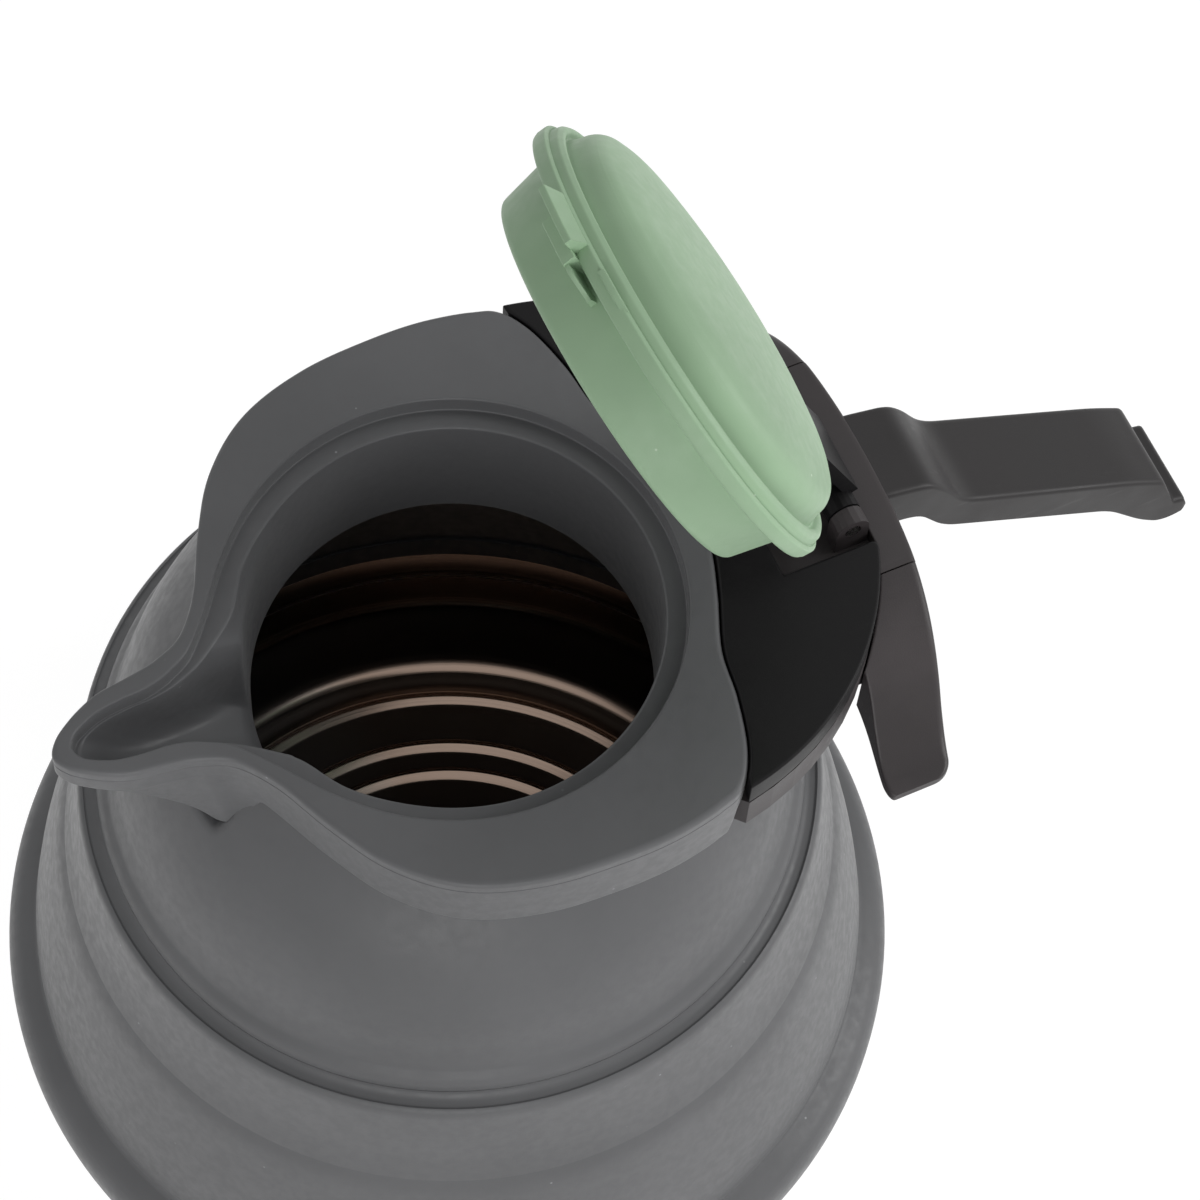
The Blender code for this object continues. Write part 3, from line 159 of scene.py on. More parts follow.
def softened(net, radii, steps, closed=True):
    """Rounds the corners of many sections at once. Each corner C with neighbours A and B gives way to the curve
    (1-s)^2 a + 2 s (1-s) C + s^2 b, where a and b lie up to radius away from C towards A and B, but never as far
    as half-way."""
    nearly_half, least = 0.49, 1e-9
    net = np.asarray(net, float)
    radii = np.broadcast_to(np.asarray(radii, float), net.shape[:2])[..., None]
    away = np.stack([np.roll(net, 1, 1) - net, np.roll(net, -1, 1) - net])
    length = np.linalg.norm(away, axis=-1, keepdims=True)
    reach = np.minimum(radii, nearly_half * length.min(0))
    start, end = net + away * (reach / np.maximum(length, least))
    s = np.linspace(0, 1, steps + 1)[None, None, :, None]
    curve = (1 - s) ** 2 * start[:, :, None] + 2 * s * (1 - s) * net[:, :, None] + s ** 2 * end[:, :, None]
    if not closed:
        curve[:, 0] = net[:, :1]
        curve[:, -1] = net[:, -1:]
    return curve.reshape(net.shape[0], -1, net.shape[2])


def swept(radius, height, turn):
    """Section lines swept round the axis: P(a, k) = (r cos a, r sin a, z), with a row for each angle a."""
    radius, height, turn = np.broadcast_arrays(radius, height, turn[:, None])
    return np.stack([radius * np.cos(turn), radius * np.sin(turn), height], -1)


def turned(name, outline, material, radii, steps, around, closed=True):
    """A solid of revolution: an outline of (radius, height) with softened corners, swept all round."""
    profile = softened(np.array(outline, float)[None], radii, steps, closed)[0]
    turn = np.linspace(0, 2 * math.pi, around, endpoint=False)
    return surface(name, swept(profile[:, 0], profile[:, 1], turn), material, loop_rows=True, loop_cols=closed)


def lofted(name, corners, radii, material):
    """A surface over a row of sections with softened corners. Each corner is (x, y, z), with a value per section."""
    net = np.stack([np.column_stack(corner) for corner in corners], 1)
    return surface(name, softened(net, radii, 4), material)


def plate(name, low, high, material):
    """A flat block between two (x, y) corners at the flange's levels, with softened upright edges and softened upper
    and lower edges."""
    (x0, y0), (x1, y1), (z0, z1) = low, high, FLANGE_LEVELS
    corner, edge = 0.0008, 0.0005
    part = edge * 0.3
    levels = ((edge, z0), (part, z0 + part), (0, z0 + edge), (0, z1 - edge), (part, z1 - part), (edge, z1))
    net = []
    for inward, z in levels:
        a, b, c, d = x0 + inward, y0 + inward, x1 - inward, y1 - inward
        flat = softened(np.array([[(a, b), (c, b), (c, d), (a, d)]]), corner, 4)[0]
        net.append(np.column_stack([flat, np.full(len(flat), z)]))
    return surface(name, np.array(net), material)


def smooth(value, start, end):
    """0 before start, 1 after end, t^2 (3 - 2 t) between."""
    t = np.clip((np.asarray(value, float) - start) / (end - start), 0, 1)
    return t * t * (3 - 2 * t)


def along(keys, where):
    """A smooth curve through (place, value) keys, read at many places: the cubic on each span takes its end slopes
    from the neighbouring keys, limited so that it never swings past them."""
    keys = np.asarray(keys, float)
    x, y = keys[:, 0], keys[:, 1]
    step = np.diff(x)
    rise = np.diff(y) / step
    slope = np.zeros(len(x))
    same = rise[:-1] * rise[1:] > 0
    mean = (step[:-1] + step[1:]) * 3
    w1, w2 = 2 * step[1:] + step[:-1], step[1:] + 2 * step[:-1]
    safe = np.where(same, rise[:-1], 1), np.where(same, rise[1:], 1)
    slope[1:-1] = np.where(same, mean / (w1 / safe[0] + w2 / safe[1]), 0)
    slope[0], slope[-1] = rise[0], rise[-1]
    where = np.clip(where, x[0], x[-1])
    i = np.clip(np.searchsorted(x, where, side="right") - 1, 0, len(step) - 1)
    t = (where - x[i]) / step[i]
    h = step[i]
    return (y[i] * (2 * t ** 3 - 3 * t ** 2 + 1) + h * slope[i] * (t ** 3 - 2 * t ** 2 + t)
            + y[i + 1] * (3 * t ** 2 - 2 * t ** 3) + h * slope[i + 1] * (t ** 3 - t ** 2))


def round_outline(shares):
    """Angle and radius all round from half an outline of shares. Both are smooth curves of the place k along the
    table's rows, so that outlines with the same number of rows match row by row."""
    half = np.array(shares, float)
    whole = np.concatenate([half, np.column_stack([360 - half[-2:0:-1, 0], half[-2:0:-1, 1]])])
    count = len(whole)
    padded = np.concatenate([whole[-3:] - [360, 0], whole, whole[:3] + [360, 0]])
    k = np.linspace(0, count, COLLAR_STEPS, endpoint=False)
    i = np.floor(k).astype(int) + 3
    t = (k - np.floor(k))[:, None]
    a, b, c, d = padded[i - 1], padded[i], padded[i + 1], padded[i + 2]
    both = 0.5 * (2 * b + (c - a) * t + (2 * a - 5 * b + 4 * c - d) * t ** 2 + (3 * b - a - 3 * c + d) * t ** 3)
    return both[:, 0], both[:, 1] * MOUTH


def ring_at(angles, radii, heights):
    """Points at angles from the spout direction: (-r cos a, -r sin a, z)."""
    turn = np.radians(180 + np.asarray(angles, float))
    radii, heights = np.broadcast_to(radii, turn.shape), np.broadcast_to(heights, turn.shape)
    return np.column_stack([radii * np.cos(turn), radii * np.sin(turn), heights])


def swing_mesh(obj):
    """Turns a finished mesh of the shut lid open about the hinge, in its points."""
    obj.data.transform(Matrix.Translation(HINGE) @ Matrix.Rotation(LID_ANGLE, 4, "Y") @ Matrix.Translation(-HINGE))
    return obj


def seat(obj, body, slot, *nodes):
    """Rides a piece on its body and hides the solids that it stands for. Its record slot is not used."""
    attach(obj, body)
    if nodes:
        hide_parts(*nodes)


# ---- materials

# Places of the colour inputs and output of Blender's Mix node
COLOUR_A, COLOUR_B, COLOUR_OUT = 6, 7, 2


class Recipe:
    """A material or a world being put together. add() makes a node and fill() sets inputs of a node, each to a plain
    value or by a link from another node's output."""

    def __init__(self, owner, output):
        owner.use_nodes = True
        self.tree = owner.node_tree
        self.tree.nodes.clear()
        self.out = self.add(output)

    def add(self, kind, values=(), **settings):
        node = self.tree.nodes.new(kind)
        for key, value in settings.items():
            setattr(node, key, value)
        self.fill(node, dict(values))
        return node

    def fill(self, node, values):
        for key, value in values.items():
            if isinstance(value, bpy.types.NodeSocket):
                self.tree.links.new(value, node.inputs[key])
            else:
                node.inputs[key].default_value = value

    def combine(self, operation, first, second):
        """A sum, a product or the larger one of two values."""
        return self.add("ShaderNodeMath", {0: first, 1: second}, operation=operation).outputs[0]

    def seen_ray(self):
        """1 for what the camera sees directly, in a mirror or through glass, and 0 for light on surfaces."""
        rays = self.add("ShaderNodeLightPath").outputs
        direct = self.combine("MAXIMUM", rays["Is Camera Ray"], rays["Is Glossy Ray"])
        return self.combine("MAXIMUM", direct, rays["Is Transmission Ray"])

    def overlay(self, share, first, second):
        """Ends the recipe with a share of a second shader over a first one."""
        mixed = self.add("ShaderNodeMixShader", {0: share, 1: first.outputs[0], 2: second.outputs[0]})
        self.fill(self.out, {"Surface": mixed.outputs[0]})


class MaterialRecipe(Recipe):
    """The recipe of a material, with its shader and the object's own coordinates."""

    def __init__(self, name):
        self.material = bpy.data.materials.get(name) or bpy.data.materials.new(name)
        super().__init__(self.material, "ShaderNodeOutputMaterial")
        self.shader = self.add("ShaderNodeBsdfPrincipled")
        self.fill(self.out, {"Surface": self.shader.outputs[0]})
        self.place = self.add("ShaderNodeTexCoord").outputs["Object"]

    def noise(self, scale, detail, roughness=0.55, place=None):
        """A cloudy value over the object, or over another set of coordinates."""
        place = self.place if place is None else place
        values = {"Scale": scale, "Detail": detail, "Roughness": roughness, "Vector": place}
        return self.add("ShaderNodeTexNoise", values).outputs["Fac"]

    def ramp(self, value, low, high, start=0.35, end=0.65):
        """The value mapped from start..end to low..high."""
        values = {"Value": value, "From Min": start, "From Max": end, "To Min": low, "To Max": high}
        return self.add("ShaderNodeMapRange", values).outputs["Result"]

    def blend(self, factor, first, second):
        """A colour between two, each of them a plain colour or another blend."""
        values = {"Factor": factor, COLOUR_A: first, COLOUR_B: second}
        return self.add("ShaderNodeMix", values, data_type="RGBA").outputs[COLOUR_OUT]

    def bump(self, height, strength, distance):
        """The node that turns a value into relief."""
        return self.add("ShaderNodeBump", {"Height": height, "Strength": strength, "Distance": distance})


def scaled(colour, factor):
    """A lighter or darker colour."""
    return (*(min(1.0, c * factor) for c in colour[:3]), 1.0)


def silicone(name, colour, roughness, dust):
    """Moulded silicone: soft mottling at two scales, a fine satin grain, and scattered specks of dust."""
    mottle_scale, satin_scale, grain_scale, speck_scale = 24.0, 420.0, 2600.0, 150.0
    recipe = MaterialRecipe(name)
    broad = recipe.noise(mottle_scale, 4.0)
    base = recipe.blend(recipe.ramp(broad, 0, 1), scaled(colour, 0.93), scaled(colour, 1.07))
    speck = recipe.add("ShaderNodeTexVoronoi", {"Scale": speck_scale, "Randomness": 1.0, "Vector": recipe.place})
    some = recipe.add("ShaderNodeSeparateColor", {"Color": speck.outputs["Color"]})
    rare = recipe.ramp(some.outputs["Red"], 0, dust, 0.50, 0.80)
    spot = recipe.combine("MULTIPLY", recipe.ramp(speck.outputs["Distance"], 1, 0, 0.025, 0.05), rare)
    relief = recipe.bump(broad, 0.10, 0.0006)
    grain = recipe.bump(recipe.noise(grain_scale, 2.0), 0.10, 0.0002)
    recipe.fill(relief, {"Normal": grain.outputs["Normal"]})
    recipe.fill(recipe.shader, {
        "Base Color": recipe.blend(spot, base, scaled(colour, 3.2)),
        "Roughness": recipe.ramp(recipe.noise(satin_scale, 2.0), roughness - 0.06, roughness + 0.06),
        "Normal": relief.outputs["Normal"], "Specular IOR Level": 0.32, "Sheen Weight": 0.08, "Sheen Roughness": 0.5,
    })
    return recipe.material


def plastic(name, colour, roughness, shine):
    """Black moulded nylon: a fine spark-eroded grain, faint rubbed patches and a few hairline scratches."""
    patch_scale, scratch_scale, grain_scale, scratch_stretch = 45.0, 90.0, 3200.0, (1.0, 14.0, 6.0)
    recipe = MaterialRecipe(name)
    broad = recipe.noise(patch_scale, 5.0)
    drawn_out = recipe.add("ShaderNodeMapping", {"Scale": scratch_stretch, "Vector": recipe.place})
    scratch = recipe.noise(scratch_scale, 1.0, 0.4, drawn_out.outputs["Vector"])
    rubbed = recipe.ramp(broad, roughness - 0.05, roughness + 0.07)
    recipe.fill(recipe.shader, {
        "Base Color": recipe.blend(recipe.ramp(broad, 0, 1), scaled(colour, 0.85), scaled(colour, 1.2)),
        "Roughness": recipe.combine("ADD", rubbed, recipe.ramp(scratch, 0, -0.06, 0.66, 0.74)),
        "Normal": recipe.bump(recipe.noise(grain_scale, 2.0), 0.16, 0.00015).outputs["Normal"],
        "Specular IOR Level": shine,
    })
    return recipe.material


def steel(name, colour, roughness, rings=True, painted_shade=None):
    """Spun stainless steel: fine circles round the axis, made by noise on the radius and the height alone. A painted
    shade, where there is one, darkens the steel to brown and leaves only the spout's side bright."""
    circle_scale, smudge_scale, shade_start, shade_end = 2400.0, 30.0, -0.045, 0.010
    recipe = MaterialRecipe(name)
    split = recipe.add("ShaderNodeSeparateXYZ", {"Vector": recipe.place}).outputs
    flat = recipe.add("ShaderNodeCombineXYZ", {"X": split["X"], "Y": split["Y"]})
    radius = recipe.add("ShaderNodeVectorMath", {0: flat.outputs["Vector"]}, operation="LENGTH")
    place = recipe.add("ShaderNodeCombineXYZ", {"X": radius.outputs["Value"], "Y": split["Z"]})
    line = recipe.noise(circle_scale, 3.0, 0.6, place.outputs["Vector"])
    base = recipe.blend(recipe.ramp(recipe.noise(smudge_scale, 3.0), 0, 1), scaled(colour, 0.92), colour)
    if painted_shade:
        # Painted shade: brown over the steel away from the spout's side, which alone stays bright
        base = recipe.blend(recipe.ramp(split["X"], 0, 1, shade_start, shade_end), base, painted_shade)
    shine = recipe.ramp(line, roughness * 0.75, roughness * 1.3)
    recipe.fill(recipe.shader, {"Base Color": base, "Roughness": shine, "Metallic": 1.0})
    if rings:
        recipe.fill(recipe.shader, {"Normal": recipe.bump(line, 0.10, 0.00006).outputs["Normal"]})
    return recipe.material


def finishes():
    """All the finishes by name, from the panel's colours. The lid holds less dust than the body, the bar is a darker
    copy of the handle's nylon as painted shade, and screws are darker than sheet steel."""
    lid_dust, cover_shine, handle_shine, bar_painted_shade, screw_shade = 0.6, 0.12, 0.30, 0.32, 0.8
    look = bpy.context.scene.kettle_finishes
    colours = (look.silicone, look.lid, look.plastic, look.handle, look.steel, look.painted_pan_shade)
    grey, green, black, handle, bright, painted_shade = ((*colour, 1.0) for colour in colours)
    return {
        "silicone": silicone("grey_silicone", grey, look.silicone_roughness, look.dust),
        "lid": silicone("green_silicone", green, look.lid_roughness, look.dust * lid_dust),
        "plastic": plastic("black_nylon", black, look.plastic_roughness, cover_shine),
        "handle": plastic("handle_nylon", handle, look.plastic_roughness, handle_shine),
        # Painted shade: the bar's nylon is the handle's colour made darker
        "bar": plastic("bar_nylon", scaled(handle, bar_painted_shade), look.plastic_roughness, handle_shine),
        "steel": steel("spun_steel", bright, look.steel_roughness),
        # Painted shade: the pan's steel turns brown away from the spout's side
        "pan": steel("polished_pan_steel", bright, look.pan_roughness, painted_shade=painted_shade),
        "screw": steel("screw_steel", scaled(bright, screw_shade), look.steel_roughness, False),
    }


# ---- user values

Colour = partial(FloatVectorProperty, subtype="COLOR", min=0, max=1)
Share = partial(FloatProperty, subtype="FACTOR", max=1)
Length = partial(FloatProperty, unit="LENGTH", min=0)
Angle = partial(FloatProperty, subtype="ANGLE")
Power = partial(FloatProperty, subtype="POWER")


class KettleFinishes(bpy.types.PropertyGroup):
    """Colours and gloss of the kettle's materials."""

    silicone: Colour(name="Body silicone", description="Colour of body and collar", default=(0.102, 0.103, 0.107))
    silicone_roughness: Share(name="Body roughness", description="How matt body and collar are", min=0.1, default=0.46)
    dust: Share(name="Dust", description="Strength of the specks of dust on silicone", min=0, default=0.70)
    lid: Colour(name="Lid silicone", description="Colour of the lid", default=(0.300, 0.445, 0.285))
    lid_roughness: Share(name="Lid roughness", description="How matt the lid is", min=0.1, default=0.50)
    plastic: Colour(name="Bracket plastic", description="Colour of cover, flange, tongues, lid's core and arm",
                    default=(0.0065, 0.0062, 0.0066))
    # The handle's nylon also goes on the bracket frame as painted light, and a darker copy goes on the bar as painted
    # shade
    handle: Colour(name="Handle plastic", description="Colour of wings and yoke, also on the bracket frame as painted light. The bar takes a darker copy as painted shade",
                   default=(0.034, 0.029, 0.030))
    plastic_roughness: Share(name="Plastic roughness", description="How matt the plastic is", min=0.1, default=0.44)
    steel: Colour(name="Steel", description="Colour of all the steel", default=(0.60, 0.58, 0.56))
    steel_roughness: Share(name="Steel roughness", description="How brushed the steel is", min=0.02, default=0.26)
    # Painted shade: the brown that darkens the pan away from the spout's side
    painted_pan_shade: Colour(name="Painted pan shade", description="Brown shade painted on the pan away from the spout's side", default=(0.270, 0.200, 0.160))
    pan_roughness: Share(name="Pan roughness", description="How brushed the polished pan is", min=0.02, default=0.16)


class KettleSizes(bpy.types.PropertyGroup):
    """Small sizes of the finished surfaces."""

    silicone_round: Length(name="Silicone edges", description="Rounding of the collar", max=0.003, default=0.0011)
    plastic_round: Length(name="Plastic edges", description="Rounding of the plastic edges", max=0.002, default=0.0007)
    ring_rise: Length(name="Pan ring rise", description="Height of the pan's pressed rings", max=0.002, default=0.0010)
    around: IntProperty(name="Steps round", description="How finely round pieces are divided", min=48, max=360,
                        default=192)


class KettleStudio(bpy.types.PropertyGroup):
    """Camera and light."""

    azimuth: Angle(name="Azimuth", description="Camera's direction round the kettle", default=math.radians(-29.2))
    elevation: Angle(name="Elevation", description="Camera's height above the horizon", default=math.radians(62.58))
    roll: Angle(name="Roll", description="Camera's turn about its own line of sight", default=math.radians(-5.28))
    distance: Length(name="Distance", description="Camera's distance from the rim", default=0.714)
    lens: FloatProperty(name="Lens", description="Focal length in millimetres", min=10, max=300, default=108.36)
    key: Power(name="Front light", description="Power of the front lamp", default=5.0)
    fill: Power(name="Side light", description="Power of the side lamp", default=15.0)
    top: Power(name="Top light", description="Power of the top lamp", default=2.5)
    rim: Power(name="Rim light", description="Power of the small lamp behind", default=1.5)
    sky: FloatProperty(name="Sky light", description="Strength of the even light from all round", min=0, max=2,
                       default=0.42)


# ---- stage

# Each lamp's name, place, height that it aims at, width, and the studio value with its power
LAMPS = (
    ("front_lamp", (-0.45, -0.95, 0.46), 0.14, 0.7, "key"),
    ("side_lamp", (1.5, -0.70, 0.80), 0.15, 0.9, "fill"),
    ("top_lamp", (0.75, 0.35, 1.6), 0.15, 0.9, "top"),
    ("rim_lamp", (-0.35, 1.25, 0.95), 0.18, 0.35, "rim"),
)
# Where the rim's centre lies in the photograph, the photograph's middle, and its focal length, in its own pixels
RIM_PIXEL, MIDDLE_PIXEL, FOCAL_PIXELS = (453.7, 612.4), 600, 3612


class KETTLE_OT_stage(bpy.types.Operator):
    """Camera at the photograph's angle, pale floor, soft lamps and a white surround."""

    bl_idname = "kettle.stage"
    bl_label = "Studio"

    def execute(self, context):
        scene = context.scene
        studio = scene.kettle_studio
        scene.view_settings.view_transform = "Standard"
        self.camera(scene, studio)
        self.world(scene, studio)
        self.floor()
        for name, place, aim, width, power in LAMPS:
            self.lamp(name, place, aim, width, getattr(studio, power))
        return {"FINISHED"}

    def camera(self, scene, studio):
        """The rim's centre, at the studio distance, lies off the picture's middle as in the photograph."""
        off_x, off_y = ((pixel - MIDDLE_PIXEL) / FOCAL_PIXELS for pixel in RIM_PIXEL)
        az, el, roll = studio.azimuth, studio.elevation, studio.roll
        back = Vector((math.sin(az) * math.cos(el), -math.cos(az) * math.cos(el), math.sin(el)))
        side = Vector((math.cos(az), math.sin(az), 0))
        up = back.cross(side)
        x = side * math.cos(roll) - up * math.sin(roll)
        y = side * math.sin(roll) + up * math.cos(roll)
        data = bpy.data.cameras.new("photo_camera")
        data.sensor_width = 36
        data.lens = studio.lens
        camera = bpy.data.objects.new("photo_camera", data)
        place = Vector((0, 0, LEDGE)) - (x * off_x - y * off_y - back) * studio.distance
        camera.matrix_world = Matrix.Translation(place) @ Matrix((x, y, back)).transposed().to_4x4()
        scene.collection.objects.link(camera)
        scene.camera = camera

    def world(self, scene, studio):
        """Even pale light for surfaces, and plain white for the camera, reflections and seeing through."""
        world = bpy.data.worlds.new("pale_surround")
        recipe = Recipe(world, "ShaderNodeOutputWorld")
        light = recipe.add("ShaderNodeBackground", {"Strength": studio.sky})
        white = recipe.add("ShaderNodeBackground", {"Strength": 1.0, "Color": (1, 1, 1, 1)})
        recipe.overlay(recipe.seen_ray(), light, white)
        scene.world = world

    def floor(self):
        """A wide disc. It keeps the kettle's shadow: only part of what the camera sees of it glows."""
        rings, steps, clearance, glow_strength, glow_share = (0.0, 0.3, 1.0, 6.0), 96, 0.0004, 1.14, 0.80
        recipe = MaterialRecipe("pale_floor")
        recipe.fill(recipe.shader, {"Base Color": (0.86, 0.86, 0.86, 1), "Roughness": 0.9})
        glow = recipe.add("ShaderNodeEmission", {"Strength": glow_strength})
        recipe.overlay(recipe.combine("MULTIPLY", recipe.seen_ray(), glow_share), recipe.shader, glow)
        turn = np.linspace(0, 2 * math.pi, steps, endpoint=False)
        points = swept(np.array(rings), CAD_BOX[0][2] - clearance, turn)
        surface("floor", points, recipe.material, loop_rows=True, loop_cols=False)

    def lamp(self, name, place, aim, width, power):
        """A square soft lamp that points at the kettle's axis, at a height above the floor."""
        data = bpy.data.lights.new(name, "AREA")
        data.shape = "SQUARE"
        data.size = width
        data.energy = power
        lamp = bpy.data.objects.new(name, data)
        lamp.location = place
        lamp.rotation_euler = (Vector((0, 0, aim)) - Vector(place)).to_track_quat("-Z", "Y").to_euler()
        bpy.context.scene.collection.objects.link(lamp)


# ---- base


class KETTLE_OT_base(bpy.types.Operator):
    """Steel pan with its pressed rings, the disc under it and the hoop round its lip. The pan's section goes out
    along the underside, up the wall to the lip, down inside, round the brow and the heel, and in over the rings."""

    bl_idname = "kettle.base"
    bl_label = "Steel base"

    def execute(self, context):
        look = finishes()
        sizes = context.scene.kettle_sizes
        rise = sizes.ring_rise
        floor, wall, outer, lip, corner = 0.0043, 0.0012, 0.0970, 0.0480, 0.011
        heel_start, heel_round, brow_round, slope = 0.0772, 0.0120, 0.0070, 42
        level, inner = floor + wall, outer - wall
        bend = np.radians(np.linspace(0, 90, 28))
        outside = np.column_stack([outer - corner + corner * np.sin(bend), floor + corner - corner * np.cos(bend)])
        low = np.radians(np.linspace(0, slope, 14))
        high = np.radians(np.linspace(slope, 90, 10))
        heel = np.column_stack([heel_start + heel_round * np.sin(low), level + heel_round * (1 - np.cos(low))])
        brow = np.column_stack([brow_round * (np.sin(high) - 1), brow_round * (math.cos(low[-1]) - np.cos(high))])
        climb = (inner + brow[0, 0] - heel[-1, 0]) * math.tan(low[-1])
        inside = np.concatenate([heel, brow + [inner, heel[-1, 1] + climb]])[::-1]
        rings = [(0.0765, level)]
        for ring in (0.0744, 0.0612, 0.0536):
            rings += [(ring + 0.0010, level), (ring, level + rise), (ring - 0.0024, level)]
        rings += [(0.0300, level), (0, level)]
        lip_and_mark = [
            (outer, lip - 0.0014, 0.0002), (outer + 0.0026, lip - 0.0014, 0.0006), (outer + 0.0026, lip, 0.0006),
            (inner, lip, 0.0005), (inner, 0.0345, 0.0008), (inner - 0.0006, 0.0330, 0.0008), (inner, 0.0315, 0.0008),
        ]
        outline = [(0, floor)] + outside.tolist() + [(r, z) for r, z, _ in lip_and_mark] + inside.tolist() + rings
        radii = [0.0] * (1 + len(outside)) + [soft for *_, soft in lip_and_mark]
        radii += [0.0] * len(inside) + [0.0004] * (len(rings) - 1) + [0.0]
        pan = turned("base_pan_finish", outline, look["pan"], radii, 3, sizes.around, closed=False)
        pan.data.materials.append(look["steel"])
        for face in pan.data.polygons:
            outwards = face.normal.xy.dot(face.center.xy) > 0.7 * face.center.xy.length
            face.material_index = int(outwards or face.normal.z < -0.01)
        seat(pan, "base", "steel", "base_pan")
        paint(look["steel"], "base_disc", "base_hoop")
        return {"FINISHED"}


def paint(material, *nodes):
    """Gives carried-over solids their finish."""
    for node in nodes:
        solid = frame["nodes"][node]
        if not solid.material_slots:
            solid.data.materials.append(material)
        for item in solid.material_slots:
            item.material = material


# ---- silicone body


class KETTLE_OT_body(bpy.types.Operator):
    """The folding silicone body: foot bead, lower fold, middle band, upper fold and shoulder. The shoulder's top is
    cut down under the spout, where the pouring channel runs."""

    bl_idname = "kettle.body"
    bl_label = "Folding body"

    def execute(self, context):
        look = finishes()["silicone"]
        around = context.scene.kettle_sizes.around
        bead = [(0.0973, 0.0350), (0.1016, 0.0350), (0.1030, 0.0380), (0.1030, 0.0435), (0.1022, 0.0466),
                (0.1004, 0.0492), (0.0978, 0.0508), (0.0958, 0.0518), (0.0955, 0.0562), (0.0925, 0.0562),
                (0.0925, 0.0483), (0.0999, 0.0483), (0.0999, 0.0386), (0.0973, 0.0386)]
        bead_round = [0.0004, 0.0016, 0.0030, 0.0030, 0.0020, 0.0020, 0.0008, 0.0008, 0, 0.0003, 0.0006, 0.0003,
                      0.0003, 0.0003]
        seat(turned("body_foot_bead", bead, look, bead_round, 4, around), "base", "silicone_grey", "body_foot_ring")

        height = np.linspace(0, 1, 40)
        lower = self.wall((0.0955, 0.0562), (0.0850, 0.1010), height,
                          ((0, 0), (0.27, 0.19), (0.50, 0.40), (0.72, 0.62), (0.93, 0.86), (1, 1)), 0.0022)
        fold = turned("body_lower_fold_skin", lower, look, 0, 1, around)
        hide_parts("body_lower_fold")
        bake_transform(fold)

        band = self.wall((0.0850, 0.1010), (0.0802, 0.1262), height,
                         ((0, 0), (0.12, 0.17), (0.32, 0.42), (0.60, 0.68), (0.85, 0.88), (1, 1)), 0.0030,
                         [(0.0799, 0.1275), (0.0794, 0.1284), (0.0788, 0.1287), (0.0783, 0.1284)])
        seat(turned("body_middle_skin", band, look, 0, 1, around), "middle", "silicone_grey", "body_middle_band")

        upper = self.wall((0.0783, 0.1284), (0.0756, 0.1306), height[::4],
                          ((0, 0), (0.12, 0.42), (0.40, 0.76), (0.70, 0.93), (1, 1)), 0.0018)
        fold = turned("body_upper_fold_skin", upper, look, 0, 1, around)
        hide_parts("body_upper_fold")
        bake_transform(fold)

        foot = [(0.0756, 0.1306), (0.0757, 0.1322), (0.0752, 0.1338), (0.0744, 0.1350), (0.0736, 0.1359)]
        shoulder = self.wall((0.0731, 0.1368), (0.0498, 0.1847), height,
                             ((0, 0), (0.10, 0.060), (0.22, 0.115), (0.34, 0.19), (0.49, 0.31), (0.65, 0.485),
                              (0.80, 0.70), (0.92, 0.885), (1, 1)), 0.0030, (), foot)
        turn = np.radians(np.linspace(0, 360, around * 2, endpoint=False))
        notch_floor, notch_half, notch_end = 0.1715, 12, 15
        notch = (1 - smooth(np.abs(np.degrees(turn) - 180), notch_half, notch_end))[:, None]
        level = shoulder[:, 1] - notch * np.maximum(shoulder[:, 1] - notch_floor, 0)
        points = swept(shoulder[:, 0], level, turn)
        seat(surface("body_shoulder_skin", points, look, loop_rows=True), "top", "silicone_grey", "body_shoulder")
        return {"FINISHED"}

    def wall(self, low, high, height, keys, thickness, crest=(), foot=()):
        """A closed wall section. Going up by h, the radius runs from low to high by a smooth curve through the keys;
        the inner line is the same line moved in by the thickness."""
        across = along(keys, height)
        outer = np.column_stack([low[0] + (high[0] - low[0]) * across, low[1] + (high[1] - low[1]) * height])
        outer = np.array(list(foot) + outer.tolist() + list(crest))
        inner = outer[::-1] - [thickness, 0]
        return np.concatenate([outer, inner])


# ---- collar


